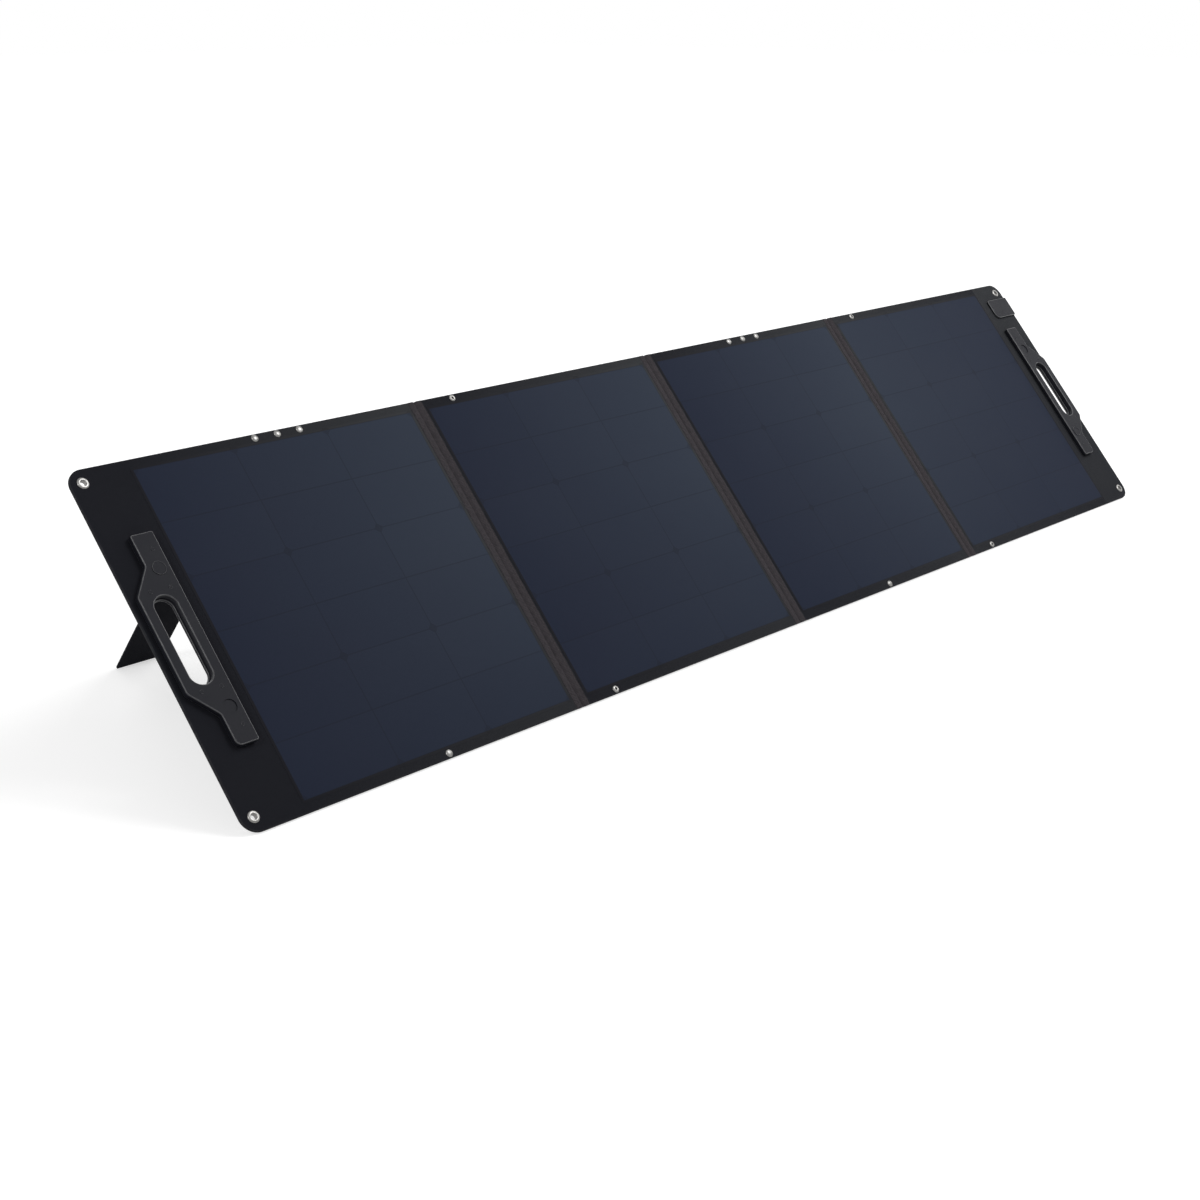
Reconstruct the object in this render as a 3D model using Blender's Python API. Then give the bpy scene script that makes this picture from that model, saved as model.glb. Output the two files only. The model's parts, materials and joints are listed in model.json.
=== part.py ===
"""Folding solar panel: four laminated segments on fabric hinges, carry handles and two prop legs.

The panel is drawn flat in its own frame, with X along its length, Y from front to back and Z up the
slope, and a root empty then leans it back on its legs. Metres throughout.
"""

import math

import bmesh
import bpy

# Segments and seams
PANEL_HEIGHT = 0.540
LAMINATE_WIDTH = 0.504
EDGE_BORDER = 0.013
SIDE_RIM = 0.0017
SEAM_WIDTH = 0.027
FLAP_WIDTH = 0.093
CORNER_RADIUS = 0.025
SLOPE_ANGLE = math.radians(49.0)

# Layers, from front to back
FILM_THICKNESS = 0.0006
CELL_THICKNESS = 0.0008
FILM_PROUD = 0.0003
BOARD_THICKNESS = 0.0020
COVER_THICKNESS = 0.0010
BOARD_INSET = 0.0010
FIT_GAP = 0.0003
SEAM_RECESS = 0.0006
SEAM_THICKNESS = 0.0040

# Folds: half of the space left between two segments that lie on each other
FRONT_FOLD_GAP = 0.0010
BACK_FOLD_GAP = 0.0025

# Carry handles, measured from the outer end of the flap and from the middle of its height
HANDLE_OUTER = 0.009
HANDLE_TAB_OUTER = 0.041
HANDLE_INNER = 0.076
HANDLE_LENGTH = 0.316
HANDLE_SHOULDER_START = 0.222
HANDLE_SHOULDER_END = 0.144
HANDLE_FRONT_HEIGHT = 0.0090
HANDLE_BACK_HEIGHT = 0.0040
HANDLE_FILLET = 0.003
SLOT_CENTRE = 0.042
SLOT_WIDTH = 0.034
SLOT_LENGTH = 0.131
COLLAR_WALL = 0.0025
EDGE_CHAMFER = 0.0015

# Magnets in the handle tabs
MAGNET_RADIUS = 0.008
MAGNET_THICKNESS = 0.005
MAGNET_SPACING = 0.208

# Grommets, eyelets and rivets
GROMMET_RADIUS = 0.008
GROMMET_HOLE = 0.0042
GROMMET_INSET_X = 0.020
GROMMET_INSET_Z = 0.021
EYELET_RADIUS = 0.0052
EYELET_HOLE = 0.0020
EYELET_INSET = 0.007
EYELET_FROM_SEAM = 0.075
BARREL_WALL = 0.0010
FLANGE_THICKNESS = 0.0010
FLANGE_DOME = 0.0004
RIVET_SPACING = 0.040

# Prop legs, each set from its segment's middle towards the panel's end
LEG_WIDTH = 0.084
LEG_OFFSET = 0.060
LEG_THICKNESS = 0.0030
LEG_LENGTH = 0.500
STRIP_HEIGHT = 0.017
STRIP_END = 0.020
STRIP_THICKNESS = 0.0020
STRIP_INSET = 0.002

# Junction box on the right flap
JUNCTION_TOP = 0.037
COVER_PLATE_WIDTH = 0.072
COVER_PLATE_HEIGHT = 0.044
COVER_PLATE_THICKNESS = 0.0040
COVER_PLATE_END = 0.001
BOX_END = 0.006
BOX_WIDTH = 0.066
BOX_HEIGHT = 0.044
BOX_DEPTH = 0.016
BOX_WALL = 0.003
BOX_FILLET = 0.006
TERMINAL_THICKNESS = 0.002
GLAND_RADIUS = 0.0060
GLAND_MOUTH = 0.0032
GLAND_LENGTH = 0.012
GLAND_RECESS = 0.0020

# Facets of round shapes
ARC_STEPS = 6
ROUND_STEPS = 20
EYELET_STEPS = 12
SMOOTH_ANGLE = math.radians(40)

# Places along the thickness, worked out from the layers
CELL_FRONT = FILM_THICKNESS + FIT_GAP
CELL_BACK = CELL_FRONT + CELL_THICKNESS
BOARD_FRONT = CELL_BACK + FIT_GAP
BOARD_BACK = BOARD_FRONT + BOARD_THICKNESS
COVER_FRONT = BOARD_BACK + FIT_GAP
PANEL_DEPTH = COVER_FRONT + COVER_THICKNESS

# Places along the length and the height
SEGMENT_WIDTH = LAMINATE_WIDTH + 2 * (FIT_GAP + SIDE_RIM)
PANEL_LENGTH = 4 * SEGMENT_WIDTH + 3 * SEAM_WIDTH + 2 * FLAP_WIDTH
FOLD_PITCH = SEGMENT_WIDTH + SEAM_WIDTH
MIDDLE_HEIGHT = PANEL_HEIGHT / 2
HANDLE_TAB_CENTRE = (HANDLE_TAB_OUTER + HANDLE_INNER) / 2

# Leg hinge, just under the riveted strip, and the angles of the opened leg
LEG_RADIUS = LEG_THICKNESS / 2
HINGE_HEIGHT = PANEL_HEIGHT - STRIP_INSET - STRIP_HEIGHT - FIT_GAP - LEG_RADIUS
HINGE_DEPTH = PANEL_DEPTH + FIT_GAP + LEG_RADIUS
FLOOR_LIFT = PANEL_DEPTH * math.cos(SLOPE_ANGLE)
HINGE_ABOVE_FLOOR = FLOOR_LIFT + HINGE_HEIGHT * math.sin(SLOPE_ANGLE) - HINGE_DEPTH * math.cos(SLOPE_ANGLE)
LEG_FLOOR_ANGLE = math.asin(HINGE_ABOVE_FLOOR / LEG_LENGTH)
LEG_OPEN_ANGLE = math.pi - SLOPE_ANGLE - LEG_FLOOR_ANGLE
SOLE_SLANT = LEG_RADIUS / math.tan(LEG_FLOOR_ANGLE)

# Depth of the standing panel, from its lower front edge to the back of the soles
FRONT_EDGE = FILM_PROUD * math.sin(SLOPE_ANGLE)
HINGE_BACK = HINGE_HEIGHT * math.cos(SLOPE_ANGLE) + HINGE_DEPTH * math.sin(SLOPE_ANGLE)
SOLE_BACK = HINGE_BACK + LEG_LENGTH * math.cos(LEG_FLOOR_ANGLE) + LEG_RADIUS / math.sin(LEG_FLOOR_ANGLE)
STAND_CENTRE = (FRONT_EDGE + SOLE_BACK) / 2


def clear_scene():
    """Remove every object that the scene holds."""
    for item in list(bpy.data.objects):
        bpy.data.objects.remove(item, do_unlink=True)


def make_material(name, color, roughness, metallic=0.0):
    """Principled material with one colour and finish."""
    material = bpy.data.materials.new(name)
    material.use_nodes = True
    shader = material.node_tree.nodes["Principled BSDF"]
    shader.inputs["Base Color"].default_value = (*color, 1.0)
    shader.inputs["Roughness"].default_value = roughness
    shader.inputs["Metallic"].default_value = metallic
    return material


def make_materials():
    """The finishes of the panel, by the name of what wears them."""
    return {
        "film": make_material("film", (0.021, 0.026, 0.038), 0.35),
        "cells": make_material("cells", (0.010, 0.014, 0.024), 0.25),
        "board": make_material("board", (0.060, 0.055, 0.045), 0.70),
        "fabric": make_material("fabric", (0.016, 0.016, 0.018), 0.85),
        "webbing": make_material("webbing", (0.030, 0.024, 0.023), 0.90),
        "plastic": make_material("plastic", (0.032, 0.034, 0.038), 0.45),
        "steel": make_material("steel", (0.70, 0.70, 0.70), 0.25, 1.0),
        "magnet": make_material("magnet", (0.45, 0.45, 0.46), 0.35, 1.0),
        "circuit": make_material("circuit", (0.020, 0.090, 0.050), 0.50),
    }


class Carrier:
    """An empty that carries pieces, with its place in the flat panel's own frame."""

    def __init__(self, name, place, parent=None, turn=0.0):
        self.place = place
        self.empty = bpy.data.objects.new(name, None)
        bpy.context.scene.collection.objects.link(self.empty)
        base = (0.0, 0.0, 0.0)
        if parent is not None:
            self.empty.parent = parent.empty
            base = parent.place
        self.empty.location = [own - other for own, other in zip(place, base)]
        self.empty.rotation_euler = (turn, 0.0, 0.0)


def add_piece(name, mesh_builder, place, carrier, material):
    """Turn a bmesh into a named object on its carrier, at a place in the panel's frame."""
    bmesh.ops.recalc_face_normals(mesh_builder, faces=mesh_builder.faces)
    mesh = bpy.data.meshes.new(name)
    mesh_builder.to_mesh(mesh)
    mesh_builder.free()
    mesh.materials.append(material)
    piece = bpy.data.objects.new(name, mesh)
    bpy.context.scene.collection.objects.link(piece)
    piece.parent = carrier.empty
    piece.location = [own - base for own, base in zip(place, carrier.place)]
    return piece


def rounded_outline(corners):
    """Closed outline through (x, z, radius) corners, each corner rounded by an arc."""
    points = []
    count = len(corners)
    for index, (x, z, radius) in enumerate(corners):
        if radius <= 0.0:
            points.append((x, z))
            continue
        before = corners[index - 1]
        after = corners[(index + 1) % count]
        entry = math.atan2(before[1] - z, before[0] - x)
        leave = math.atan2(after[1] - z, after[0] - x)
        opening = (leave - entry + math.pi) % (2 * math.pi) - math.pi
        half = abs(opening) / 2
        middle = entry + opening / 2
        reach = radius / math.sin(half)
        centre = (x + reach * math.cos(middle), z + reach * math.sin(middle))
        sweep = math.pi - abs(opening)
        side = math.copysign(1.0, opening)
        start = middle + math.pi + side * sweep / 2
        for step in range(ARC_STEPS + 1):
            angle = start - side * sweep * step / ARC_STEPS
            points.append((centre[0] + radius * math.cos(angle), centre[1] + radius * math.sin(angle)))
    return points


def rectangle(left, right, low, high, radius=0.0):
    """Rectangle outline with one radius on all its corners."""
    corners = [(left, low), (right, low), (right, high), (left, high)]
    return rounded_outline([(x, z, radius) for x, z in corners])


def circle(x, z, radius, steps=ROUND_STEPS):
    """Round outline."""
    turns = [2 * math.pi * step / steps for step in range(steps)]
    return [(x + radius * math.cos(turn), z + radius * math.sin(turn)) for turn in turns]


def stadium(x, z, width, length):
    """Upright slot outline with round ends."""
    radius = width / 2
    straight = length / 2 - radius
    steps = ROUND_STEPS // 2
    points = []
    for end, start in ((1, 0.0), (-1, math.pi)):
        for step in range(steps + 1):
            turn = start + math.pi * step / steps
            points.append((x + radius * math.cos(turn), z + end * straight + radius * math.sin(turn)))
    return points


def plate_mesh(outline, holes, front, back):
    """Flat plate with its holes, between two depths."""
    builder = bmesh.new()
    edges = []
    for loop in [outline] + list(holes):
        corners = [builder.verts.new((x, front, z)) for x, z in loop]
        edges += [builder.edges.new((corners[step - 1], corners[step])) for step in range(len(corners))]
    filled = bmesh.ops.triangle_fill(builder, use_beauty=True, use_dissolve=False, edges=edges)
    faces = [item for item in filled["geom"] if isinstance(item, bmesh.types.BMFace)]
    raised = bmesh.ops.extrude_face_region(builder, geom=faces)
    lifted = [item for item in raised["geom"] if isinstance(item, bmesh.types.BMVert)]
    bmesh.ops.translate(builder, verts=lifted, vec=(0.0, back - front, 0.0))
    return builder


def add_ring(builder, outline, depth):
    """Closed row of corners along an outline, at one depth."""
    return [builder.verts.new((x, depth, z)) for x, z in outline]


def add_wall(builder, first, second):
    """Faces between two rows of as many corners."""
    for step in range(len(first)):
        builder.faces.new((first[step - 1], first[step], second[step], second[step - 1]))


def add_cap(builder, rings):
    """Flat face inside the first row of corners and outside the others."""
    edges = []
    for ring in rings:
        for step in range(len(ring)):
            pair = (ring[step - 1], ring[step])
            edges.append(builder.edges.get(pair) or builder.edges.new(pair))
    bmesh.ops.triangle_fill(builder, use_beauty=True, use_dissolve=False, edges=edges)


def on_carrier(outline, carrier):
    """An outline of the panel's frame, seen from its carrier."""
    return [(x - carrier.place[0], z - carrier.place[2]) for x, z in outline]


def add_plate(name, outline, front, back, carrier, material, holes=()):
    """Named plate, with its origin on its carrier."""
    local_holes = [on_carrier(hole, carrier) for hole in holes]
    base = carrier.place[1]
    builder = plate_mesh(on_carrier(outline, carrier), local_holes, front - base, back - base)
    add_piece(name, builder, carrier.place, carrier, material)


def add_turned(name, profile, place, carrier, material):
    """Turned ring: a closed (radius, depth) profile swept round the depth axis through place."""
    builder = bmesh.new()
    rings = []
    for step in range(EYELET_STEPS):
        turn = 2 * math.pi * step / EYELET_STEPS
        across = math.cos(turn)
        upward = math.sin(turn)
        rings.append([builder.verts.new((radius * across, run, radius * upward)) for radius, run in profile])
    count = len(profile)
    for step, ring in enumerate(rings):
        following = rings[(step + 1) % EYELET_STEPS]
        for index in range(count):
            after = (index + 1) % count
            builder.faces.new((ring[index], ring[after], following[after], following[index]))
    piece = add_piece(name, builder, place, carrier, material)
    piece.data.shade_smooth()
    piece.data.set_sharp_from_angle(angle=SMOOTH_ANGLE)


def segment_span(number):
    """Left and right edge of a segment's laminate field, without its flap."""
    left = -PANEL_LENGTH / 2 + FLAP_WIDTH + (number - 1) * FOLD_PITCH
    return left, left + SEGMENT_WIDTH


def cover_span(number):
    """Left and right edge of a segment's covers, with its flap."""
    left, right = segment_span(number)
    if number == 1:
        left -= FLAP_WIDTH
    if number == 4:
        right += FLAP_WIDTH
    return left, right


def cover_outline(number, inset=0.0):
    """Outline of a segment's covers, rounded at the panel's own corners."""
    left, right = cover_span(number)
    radius = CORNER_RADIUS - inset
    left_radius = radius if number == 1 else 0.0
    right_radius = radius if number == 4 else 0.0
    low = inset
    high = PANEL_HEIGHT - inset
    if number == 1:
        left += inset
    if number == 4:
        right -= inset
    return rounded_outline([
        (left, low, left_radius), (right, low, right_radius),
        (right, high, right_radius), (left, high, left_radius),
    ])


def flap_place(side, from_end):
    """Position along the length at a distance from the left or right outer end."""
    return side * (PANEL_LENGTH / 2 - from_end)


def eyelet_places(number):
    """Name, position and whether it rivets a leg strip, for each eyelet of a segment's borders."""
    left, right = segment_span(number)
    top = PANEL_HEIGHT - EYELET_INSET
    if number in (1, 3):
        middle = (left + right) / 2
        places = [("leg_rivet", index, middle + (index - 2) * RIVET_SPACING, top) for index in (1, 2, 3)]
        places.append(("eyelet_bottom", 1, middle, EYELET_INSET))
    else:
        x = left - SEAM_WIDTH / 2 + EYELET_FROM_SEAM
        places = [("eyelet_top", 1, x, top), ("eyelet_bottom", 1, x, EYELET_INSET)]
    return places


def eyelet_holes(number):
    """Clearance holes for a segment's eyelets."""
    radius = EYELET_HOLE + BARREL_WALL + FIT_GAP
    return [circle(x, z, radius, EYELET_STEPS) for _, _, x, z in eyelet_places(number)]


def grommet_places(side):
    """The two grommets of a flap, upper and lower."""
    x = flap_place(side, GROMMET_INSET_X)
    return [("upper", x, PANEL_HEIGHT - GROMMET_INSET_Z), ("lower", x, GROMMET_INSET_Z)]


def flap_holes(side):
    """Grommet holes and the handle's slot through a flap."""
    radius = GROMMET_HOLE + BARREL_WALL + FIT_GAP
    holes = [circle(x, z, radius, EYELET_STEPS) for _, x, z in grommet_places(side)]
    extra = 2 * (COLLAR_WALL + FIT_GAP)
    slot_x = flap_place(side, SLOT_CENTRE)
    holes.append(stadium(slot_x, MIDDLE_HEIGHT, SLOT_WIDTH + extra, SLOT_LENGTH + extra))
    return holes


def cover_holes(number):
    """Every hole through a segment's covers."""
    holes = eyelet_holes(number)
    if number == 1:
        holes += flap_holes(-1)
    if number == 4:
        holes += flap_holes(1)
    return holes


def add_layers(number, carrier, finishes):
    """Film, cells, board and the two fabric covers of one segment."""
    left, right = segment_span(number)
    window_side = SIDE_RIM
    window = rectangle(left + window_side, right - window_side, EDGE_BORDER, PANEL_HEIGHT - EDGE_BORDER)
    sheet_side = window_side + FIT_GAP
    sheet_low = EDGE_BORDER + FIT_GAP
    sheet = rectangle(left + sheet_side, right - sheet_side, sheet_low, PANEL_HEIGHT - sheet_low)
    board = rectangle(left + FIT_GAP, right - FIT_GAP, BOARD_INSET, PANEL_HEIGHT - BOARD_INSET)
    holes = cover_holes(number)
    add_plate(f"front_film_{number}", sheet, 0.0, FILM_THICKNESS, carrier, finishes["film"])
    add_plate(f"cell_layer_{number}", sheet, CELL_FRONT, CELL_BACK, carrier, finishes["cells"])
    rivet_holes = eyelet_holes(number)
    add_plate(f"core_board_{number}", board, BOARD_FRONT, BOARD_BACK, carrier, finishes["board"], rivet_holes)
    outline = cover_outline(number)
    add_plate(
        f"front_cover_{number}", outline, FILM_PROUD, CELL_BACK, carrier, finishes["fabric"], holes + [window]
    )
    add_plate(f"back_cover_{number}", outline, COVER_FRONT, PANEL_DEPTH, carrier, finishes["fabric"], holes)


def add_flap_board(name, side, carrier, finishes):
    """Stiffening board inside an end flap, beside the segment's own board."""
    outer = flap_place(side, BOARD_INSET)
    inner = flap_place(side, FLAP_WIDTH - FIT_GAP)
    radius = CORNER_RADIUS - BOARD_INSET
    high = PANEL_HEIGHT - BOARD_INSET
    outline = rounded_outline([
        (inner, BOARD_INSET, 0.0), (outer, BOARD_INSET, radius), (outer, high, radius), (inner, high, 0.0),
    ])
    add_plate(name, outline, BOARD_FRONT, BOARD_BACK, carrier, finishes["board"], flap_holes(side))


def add_seam(letter, fold_x, left_carrier, right_carrier, finishes):
    """The two halves of a sewn hinge tape, parted at its fold line."""
    back = SEAM_RECESS + SEAM_THICKNESS
    reach = SEAM_WIDTH / 2 - FIT_GAP
    halves = (
        ("left", fold_x - reach, fold_x - FIT_GAP, left_carrier),
        ("right", fold_x + FIT_GAP, fold_x + reach, right_carrier),
    )
    for side, start, end, carrier in halves:
        outline = rectangle(start, end, 0.0, PANEL_HEIGHT)
        add_plate(f"seam_tape_{letter}_{side}", outline, SEAM_RECESS, back, carrier, finishes["webbing"])


def eyelet_profile(hole, flange, back):
    """Cross-section of an eyelet: domed front flange, barrel and rolled back flange."""
    barrel = hole + BARREL_WALL
    front_seat = FILM_PROUD - FIT_GAP
    back_seat = back + FIT_GAP
    crown = front_seat - FLANGE_THICKNESS - FLANGE_DOME
    return [
        (hole, crown), ((hole + flange) / 2, crown), (flange, front_seat - FLANGE_DOME),
        (flange, front_seat), (barrel, front_seat), (barrel, back_seat), (flange, back_seat),
        (flange, back_seat + FLANGE_THICKNESS), (hole, back_seat + FLANGE_THICKNESS),
    ]


def add_eyelets(number, carrier, finishes):
    """Border eyelets of a segment; the rivets of a leg strip reach through it."""
    for kind, index, x, z in eyelet_places(number):
        back = PANEL_DEPTH
        name = f"{kind}_{number}"
        if kind == "leg_rivet":
            back += FIT_GAP + STRIP_THICKNESS
            name = f"{kind}_{number}_{index}"
        profile = eyelet_profile(EYELET_HOLE, EYELET_RADIUS, back)
        add_turned(name, profile, (x, 0.0, z), carrier, finishes["steel"])


def add_grommets(label, side, carrier, finishes):
    """Tie-down grommets in a flap's corners."""
    profile = eyelet_profile(GROMMET_HOLE, GROMMET_RADIUS, PANEL_DEPTH)
    for level, x, z in grommet_places(side):
        add_turned(f"grommet_{label}_{level}", profile, (x, 0.0, z), carrier, finishes["steel"])


def handle_outline(side, inset=0.0):
    """Outline of a handle: a wide middle round the slot and a narrower tab at each end."""
    half = HANDLE_LENGTH / 2 - inset
    tab = HANDLE_SHOULDER_START / 2
    wide = HANDLE_SHOULDER_END / 2
    outer = flap_place(side, HANDLE_OUTER + inset)
    tab_outer = flap_place(side, HANDLE_TAB_OUTER + inset)
    inner = flap_place(side, HANDLE_INNER - inset)
    radius = HANDLE_FILLET - inset
    corners = [
        (inner, -half, radius), (inner, half, radius), (tab_outer, half, radius), (tab_outer, tab, radius),
        (outer, wide, radius), (outer, -wide, radius), (tab_outer, -tab, radius), (tab_outer, -half, radius),
    ]
    return rounded_outline([(x, MIDDLE_HEIGHT + z, corner) for x, z, corner in corners])


def magnet_places(side):
    """The two magnets of a handle, upper and lower."""
    x = flap_place(side, HANDLE_TAB_CENTRE)
    reach = MAGNET_SPACING / 2
    return [("upper", x, MIDDLE_HEIGHT + reach), ("lower", x, MIDDLE_HEIGHT - reach)]


def add_handle_front(label, side, carrier, material):
    """Front shell: chamfered face, lining through the flap's slot and a pocket for each magnet."""
    base = carrier.place[1]
    seat = FILM_PROUD - FIT_GAP - base
    face = seat - HANDLE_FRONT_HEIGHT
    edge = face + EDGE_CHAMFER
    lining_end = PANEL_DEPTH - base
    pocket_floor = seat - MAGNET_THICKNESS - FIT_GAP
    slot_x = flap_place(side, SLOT_CENTRE)
    slot = on_carrier(stadium(slot_x, MIDDLE_HEIGHT, SLOT_WIDTH, SLOT_LENGTH), carrier)
    rim = 2 * EDGE_CHAMFER
    wall = 2 * COLLAR_WALL
    mouth = on_carrier(stadium(slot_x, MIDDLE_HEIGHT, SLOT_WIDTH + rim, SLOT_LENGTH + rim), carrier)
    collar = on_carrier(stadium(slot_x, MIDDLE_HEIGHT, SLOT_WIDTH + wall, SLOT_LENGTH + wall), carrier)
    outline = on_carrier(handle_outline(side), carrier)
    builder = bmesh.new()
    outer = [
        add_ring(builder, on_carrier(handle_outline(side, EDGE_CHAMFER), carrier), face),
        add_ring(builder, outline, edge),
        add_ring(builder, outline, seat),
    ]
    inner = [
        add_ring(builder, mouth, face),
        add_ring(builder, slot, edge),
        add_ring(builder, slot, lining_end),
    ]
    lining = [add_ring(builder, collar, lining_end), add_ring(builder, collar, seat)]
    pockets = []
    for _, x, z in magnet_places(side):
        pocket = on_carrier(circle(x, z, MAGNET_RADIUS + FIT_GAP), carrier)
        pockets.append((add_ring(builder, pocket, seat), add_ring(builder, pocket, pocket_floor)))
    for rows in (outer, inner, lining, *pockets):
        for first, second in zip(rows, rows[1:]):
            add_wall(builder, first, second)
    add_cap(builder, [outer[0], inner[0]])
    add_cap(builder, [lining[0], inner[-1]])
    add_cap(builder, [outer[-1], lining[-1]] + [top for top, _ in pockets])
    for _, floor in pockets:
        add_cap(builder, [floor])
    add_piece(f"handle_front_{label}", builder, carrier.place, carrier, material)


def add_handle_back(label, side, carrier, material):
    """Rear shell: a plate round the slot with a chamfered outer face."""
    base = carrier.place[1]
    seat = PANEL_DEPTH + FIT_GAP - base
    face = seat + HANDLE_BACK_HEIGHT
    edge = face - EDGE_CHAMFER
    slot_x = flap_place(side, SLOT_CENTRE)
    rim = 2 * EDGE_CHAMFER
    slot = on_carrier(stadium(slot_x, MIDDLE_HEIGHT, SLOT_WIDTH, SLOT_LENGTH), carrier)
    mouth = on_carrier(stadium(slot_x, MIDDLE_HEIGHT, SLOT_WIDTH + rim, SLOT_LENGTH + rim), carrier)
    outline = on_carrier(handle_outline(side), carrier)
    builder = bmesh.new()
    outer = [
        add_ring(builder, outline, seat),
        add_ring(builder, outline, edge),
        add_ring(builder, on_carrier(handle_outline(side, EDGE_CHAMFER), carrier), face),
    ]
    inner = [add_ring(builder, slot, seat), add_ring(builder, slot, edge), add_ring(builder, mouth, face)]
    for rows in (outer, inner):
        for first, second in zip(rows, rows[1:]):
            add_wall(builder, first, second)
    add_cap(builder, [outer[0], inner[0]])
    add_cap(builder, [outer[-1], inner[-1]])
    add_piece(f"handle_back_{label}", builder, carrier.place, carrier, material)


def add_handle(label, side, carrier, finishes):
    """Front and rear shells of a carry handle, with the magnets that the front shell holds."""
    add_handle_front(label, side, carrier, finishes["plastic"])
    add_handle_back(label, side, carrier, finishes["plastic"])
    seat = FILM_PROUD - FIT_GAP
    for level, x, z in magnet_places(side):
        disc = circle(x, z, MAGNET_RADIUS)
        add_plate(f"magnet_{label}_{level}", disc, seat - MAGNET_THICKNESS, seat, carrier, finishes["magnet"])


def add_leg(number, side, panel, finishes):
    """Riveted strip and hinged board of a prop leg, opened until its sole is flat on the floor."""
    left, right = segment_span(number)
    middle = (left + right) / 2 + side * LEG_OFFSET
    half = LEG_WIDTH / 2
    high = PANEL_HEIGHT - STRIP_INSET
    front = PANEL_DEPTH + FIT_GAP
    radius = EYELET_HOLE + BARREL_WALL + FIT_GAP
    rivets = [(x, z) for kind, _, x, z in eyelet_places(number) if kind == "leg_rivet"]
    holes = [circle(x, z, radius, EYELET_STEPS) for x, z in rivets]
    strip_ends = [middle + side * half, side * min(side * x for x, _ in rivets) - side * STRIP_END]
    strip = rectangle(min(strip_ends), max(strip_ends), high - STRIP_HEIGHT, high)
    add_plate(f"leg_strip_{number}", strip, front, front + STRIP_THICKNESS, panel, finishes["plastic"], holes)
    hinge = Carrier(f"leg_{number}", (middle, HINGE_DEPTH, HINGE_HEIGHT), panel, LEG_OPEN_ANGLE)
    section = []
    for step in range(ARC_STEPS + 1):
        turn = math.pi * step / ARC_STEPS
        section.append((LEG_RADIUS * math.cos(turn), LEG_RADIUS * math.sin(turn)))
    section.append((-LEG_RADIUS, SOLE_SLANT - LEG_LENGTH))
    section.append((LEG_RADIUS, -SOLE_SLANT - LEG_LENGTH))
    builder = bmesh.new()
    sides = [[builder.verts.new((x, depth, run)) for depth, run in section] for x in (-half, half)]
    builder.faces.new(sides[0])
    builder.faces.new(sides[1])
    for index in range(len(section)):
        builder.faces.new((sides[0][index - 1], sides[0][index], sides[1][index], sides[1][index - 1]))
    add_piece(f"leg_board_{number}", builder, hinge.place, hinge, finishes["plastic"])


def add_junction_cover(high, carrier, material):
    """Chamfered plate on the front of the right flap."""
    base = carrier.place[1]
    right = PANEL_LENGTH / 2 - COVER_PLATE_END
    left = right - COVER_PLATE_WIDTH
    low = high - COVER_PLATE_HEIGHT
    seat = FILM_PROUD - FIT_GAP - base
    face = seat - COVER_PLATE_THICKNESS
    inset = EDGE_CHAMFER
    outline = on_carrier(rectangle(left, right, low, high, BOX_FILLET), carrier)
    inner = rectangle(left + inset, right - inset, low + inset, high - inset, BOX_FILLET - inset)
    builder = bmesh.new()
    rows = [
        add_ring(builder, on_carrier(inner, carrier), face),
        add_ring(builder, outline, face + inset),
        add_ring(builder, outline, seat),
    ]
    for first, second in zip(rows, rows[1:]):
        add_wall(builder, first, second)
    add_cap(builder, [rows[0]])
    add_cap(builder, [rows[-1]])
    add_piece("junction_cover", builder, carrier.place, carrier, material)


def add_junction_box(span, levels, depths, carrier, material):
    """Chamfered tray on the back of the right flap, open towards the flap."""
    left, right = span
    low, high = levels
    base = carrier.place[1]
    front, back = depths[0] - base, depths[1] - base
    inset = EDGE_CHAMFER
    wall = BOX_WALL
    outline = on_carrier(rectangle(left, right, low, high, BOX_FILLET), carrier)
    face = rectangle(left + inset, right - inset, low + inset, high - inset, BOX_FILLET - inset)
    hollow = on_carrier(rectangle(left + wall, right - wall, low + wall, high - wall), carrier)
    builder = bmesh.new()
    outer = [
        add_ring(builder, outline, front),
        add_ring(builder, outline, back - inset),
        add_ring(builder, on_carrier(face, carrier), back),
    ]
    inner = [add_ring(builder, hollow, front), add_ring(builder, hollow, back - wall)]
    for rows in (outer, inner):
        for first, second in zip(rows, rows[1:]):
            add_wall(builder, first, second)
    add_cap(builder, [outer[0], inner[0]])
    add_cap(builder, [outer[-1]])
    add_cap(builder, [inner[-1]])
    add_piece("junction_box", builder, carrier.place, carrier, material)


def add_gland(end, depth, height, carrier, material):
    """Round gland lying along the panel, with a shallow mouth on its free end."""
    base_x, base_y, base_z = carrier.place
    tip = end - GLAND_LENGTH
    levels = [(GLAND_RADIUS, end), (GLAND_RADIUS, tip), (GLAND_MOUTH, tip), (GLAND_MOUTH, tip + GLAND_RECESS)]
    builder = bmesh.new()
    rows = []
    for radius, x in levels:
        section = circle(depth - base_y, height - base_z, radius)
        rows.append([builder.verts.new((x - base_x, y, z)) for y, z in section])
    for first, second in zip(rows, rows[1:]):
        add_wall(builder, first, second)
    builder.faces.new(rows[0])
    builder.faces.new(rows[-1])
    add_piece("cable_gland", builder, carrier.place, carrier, material)


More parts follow.
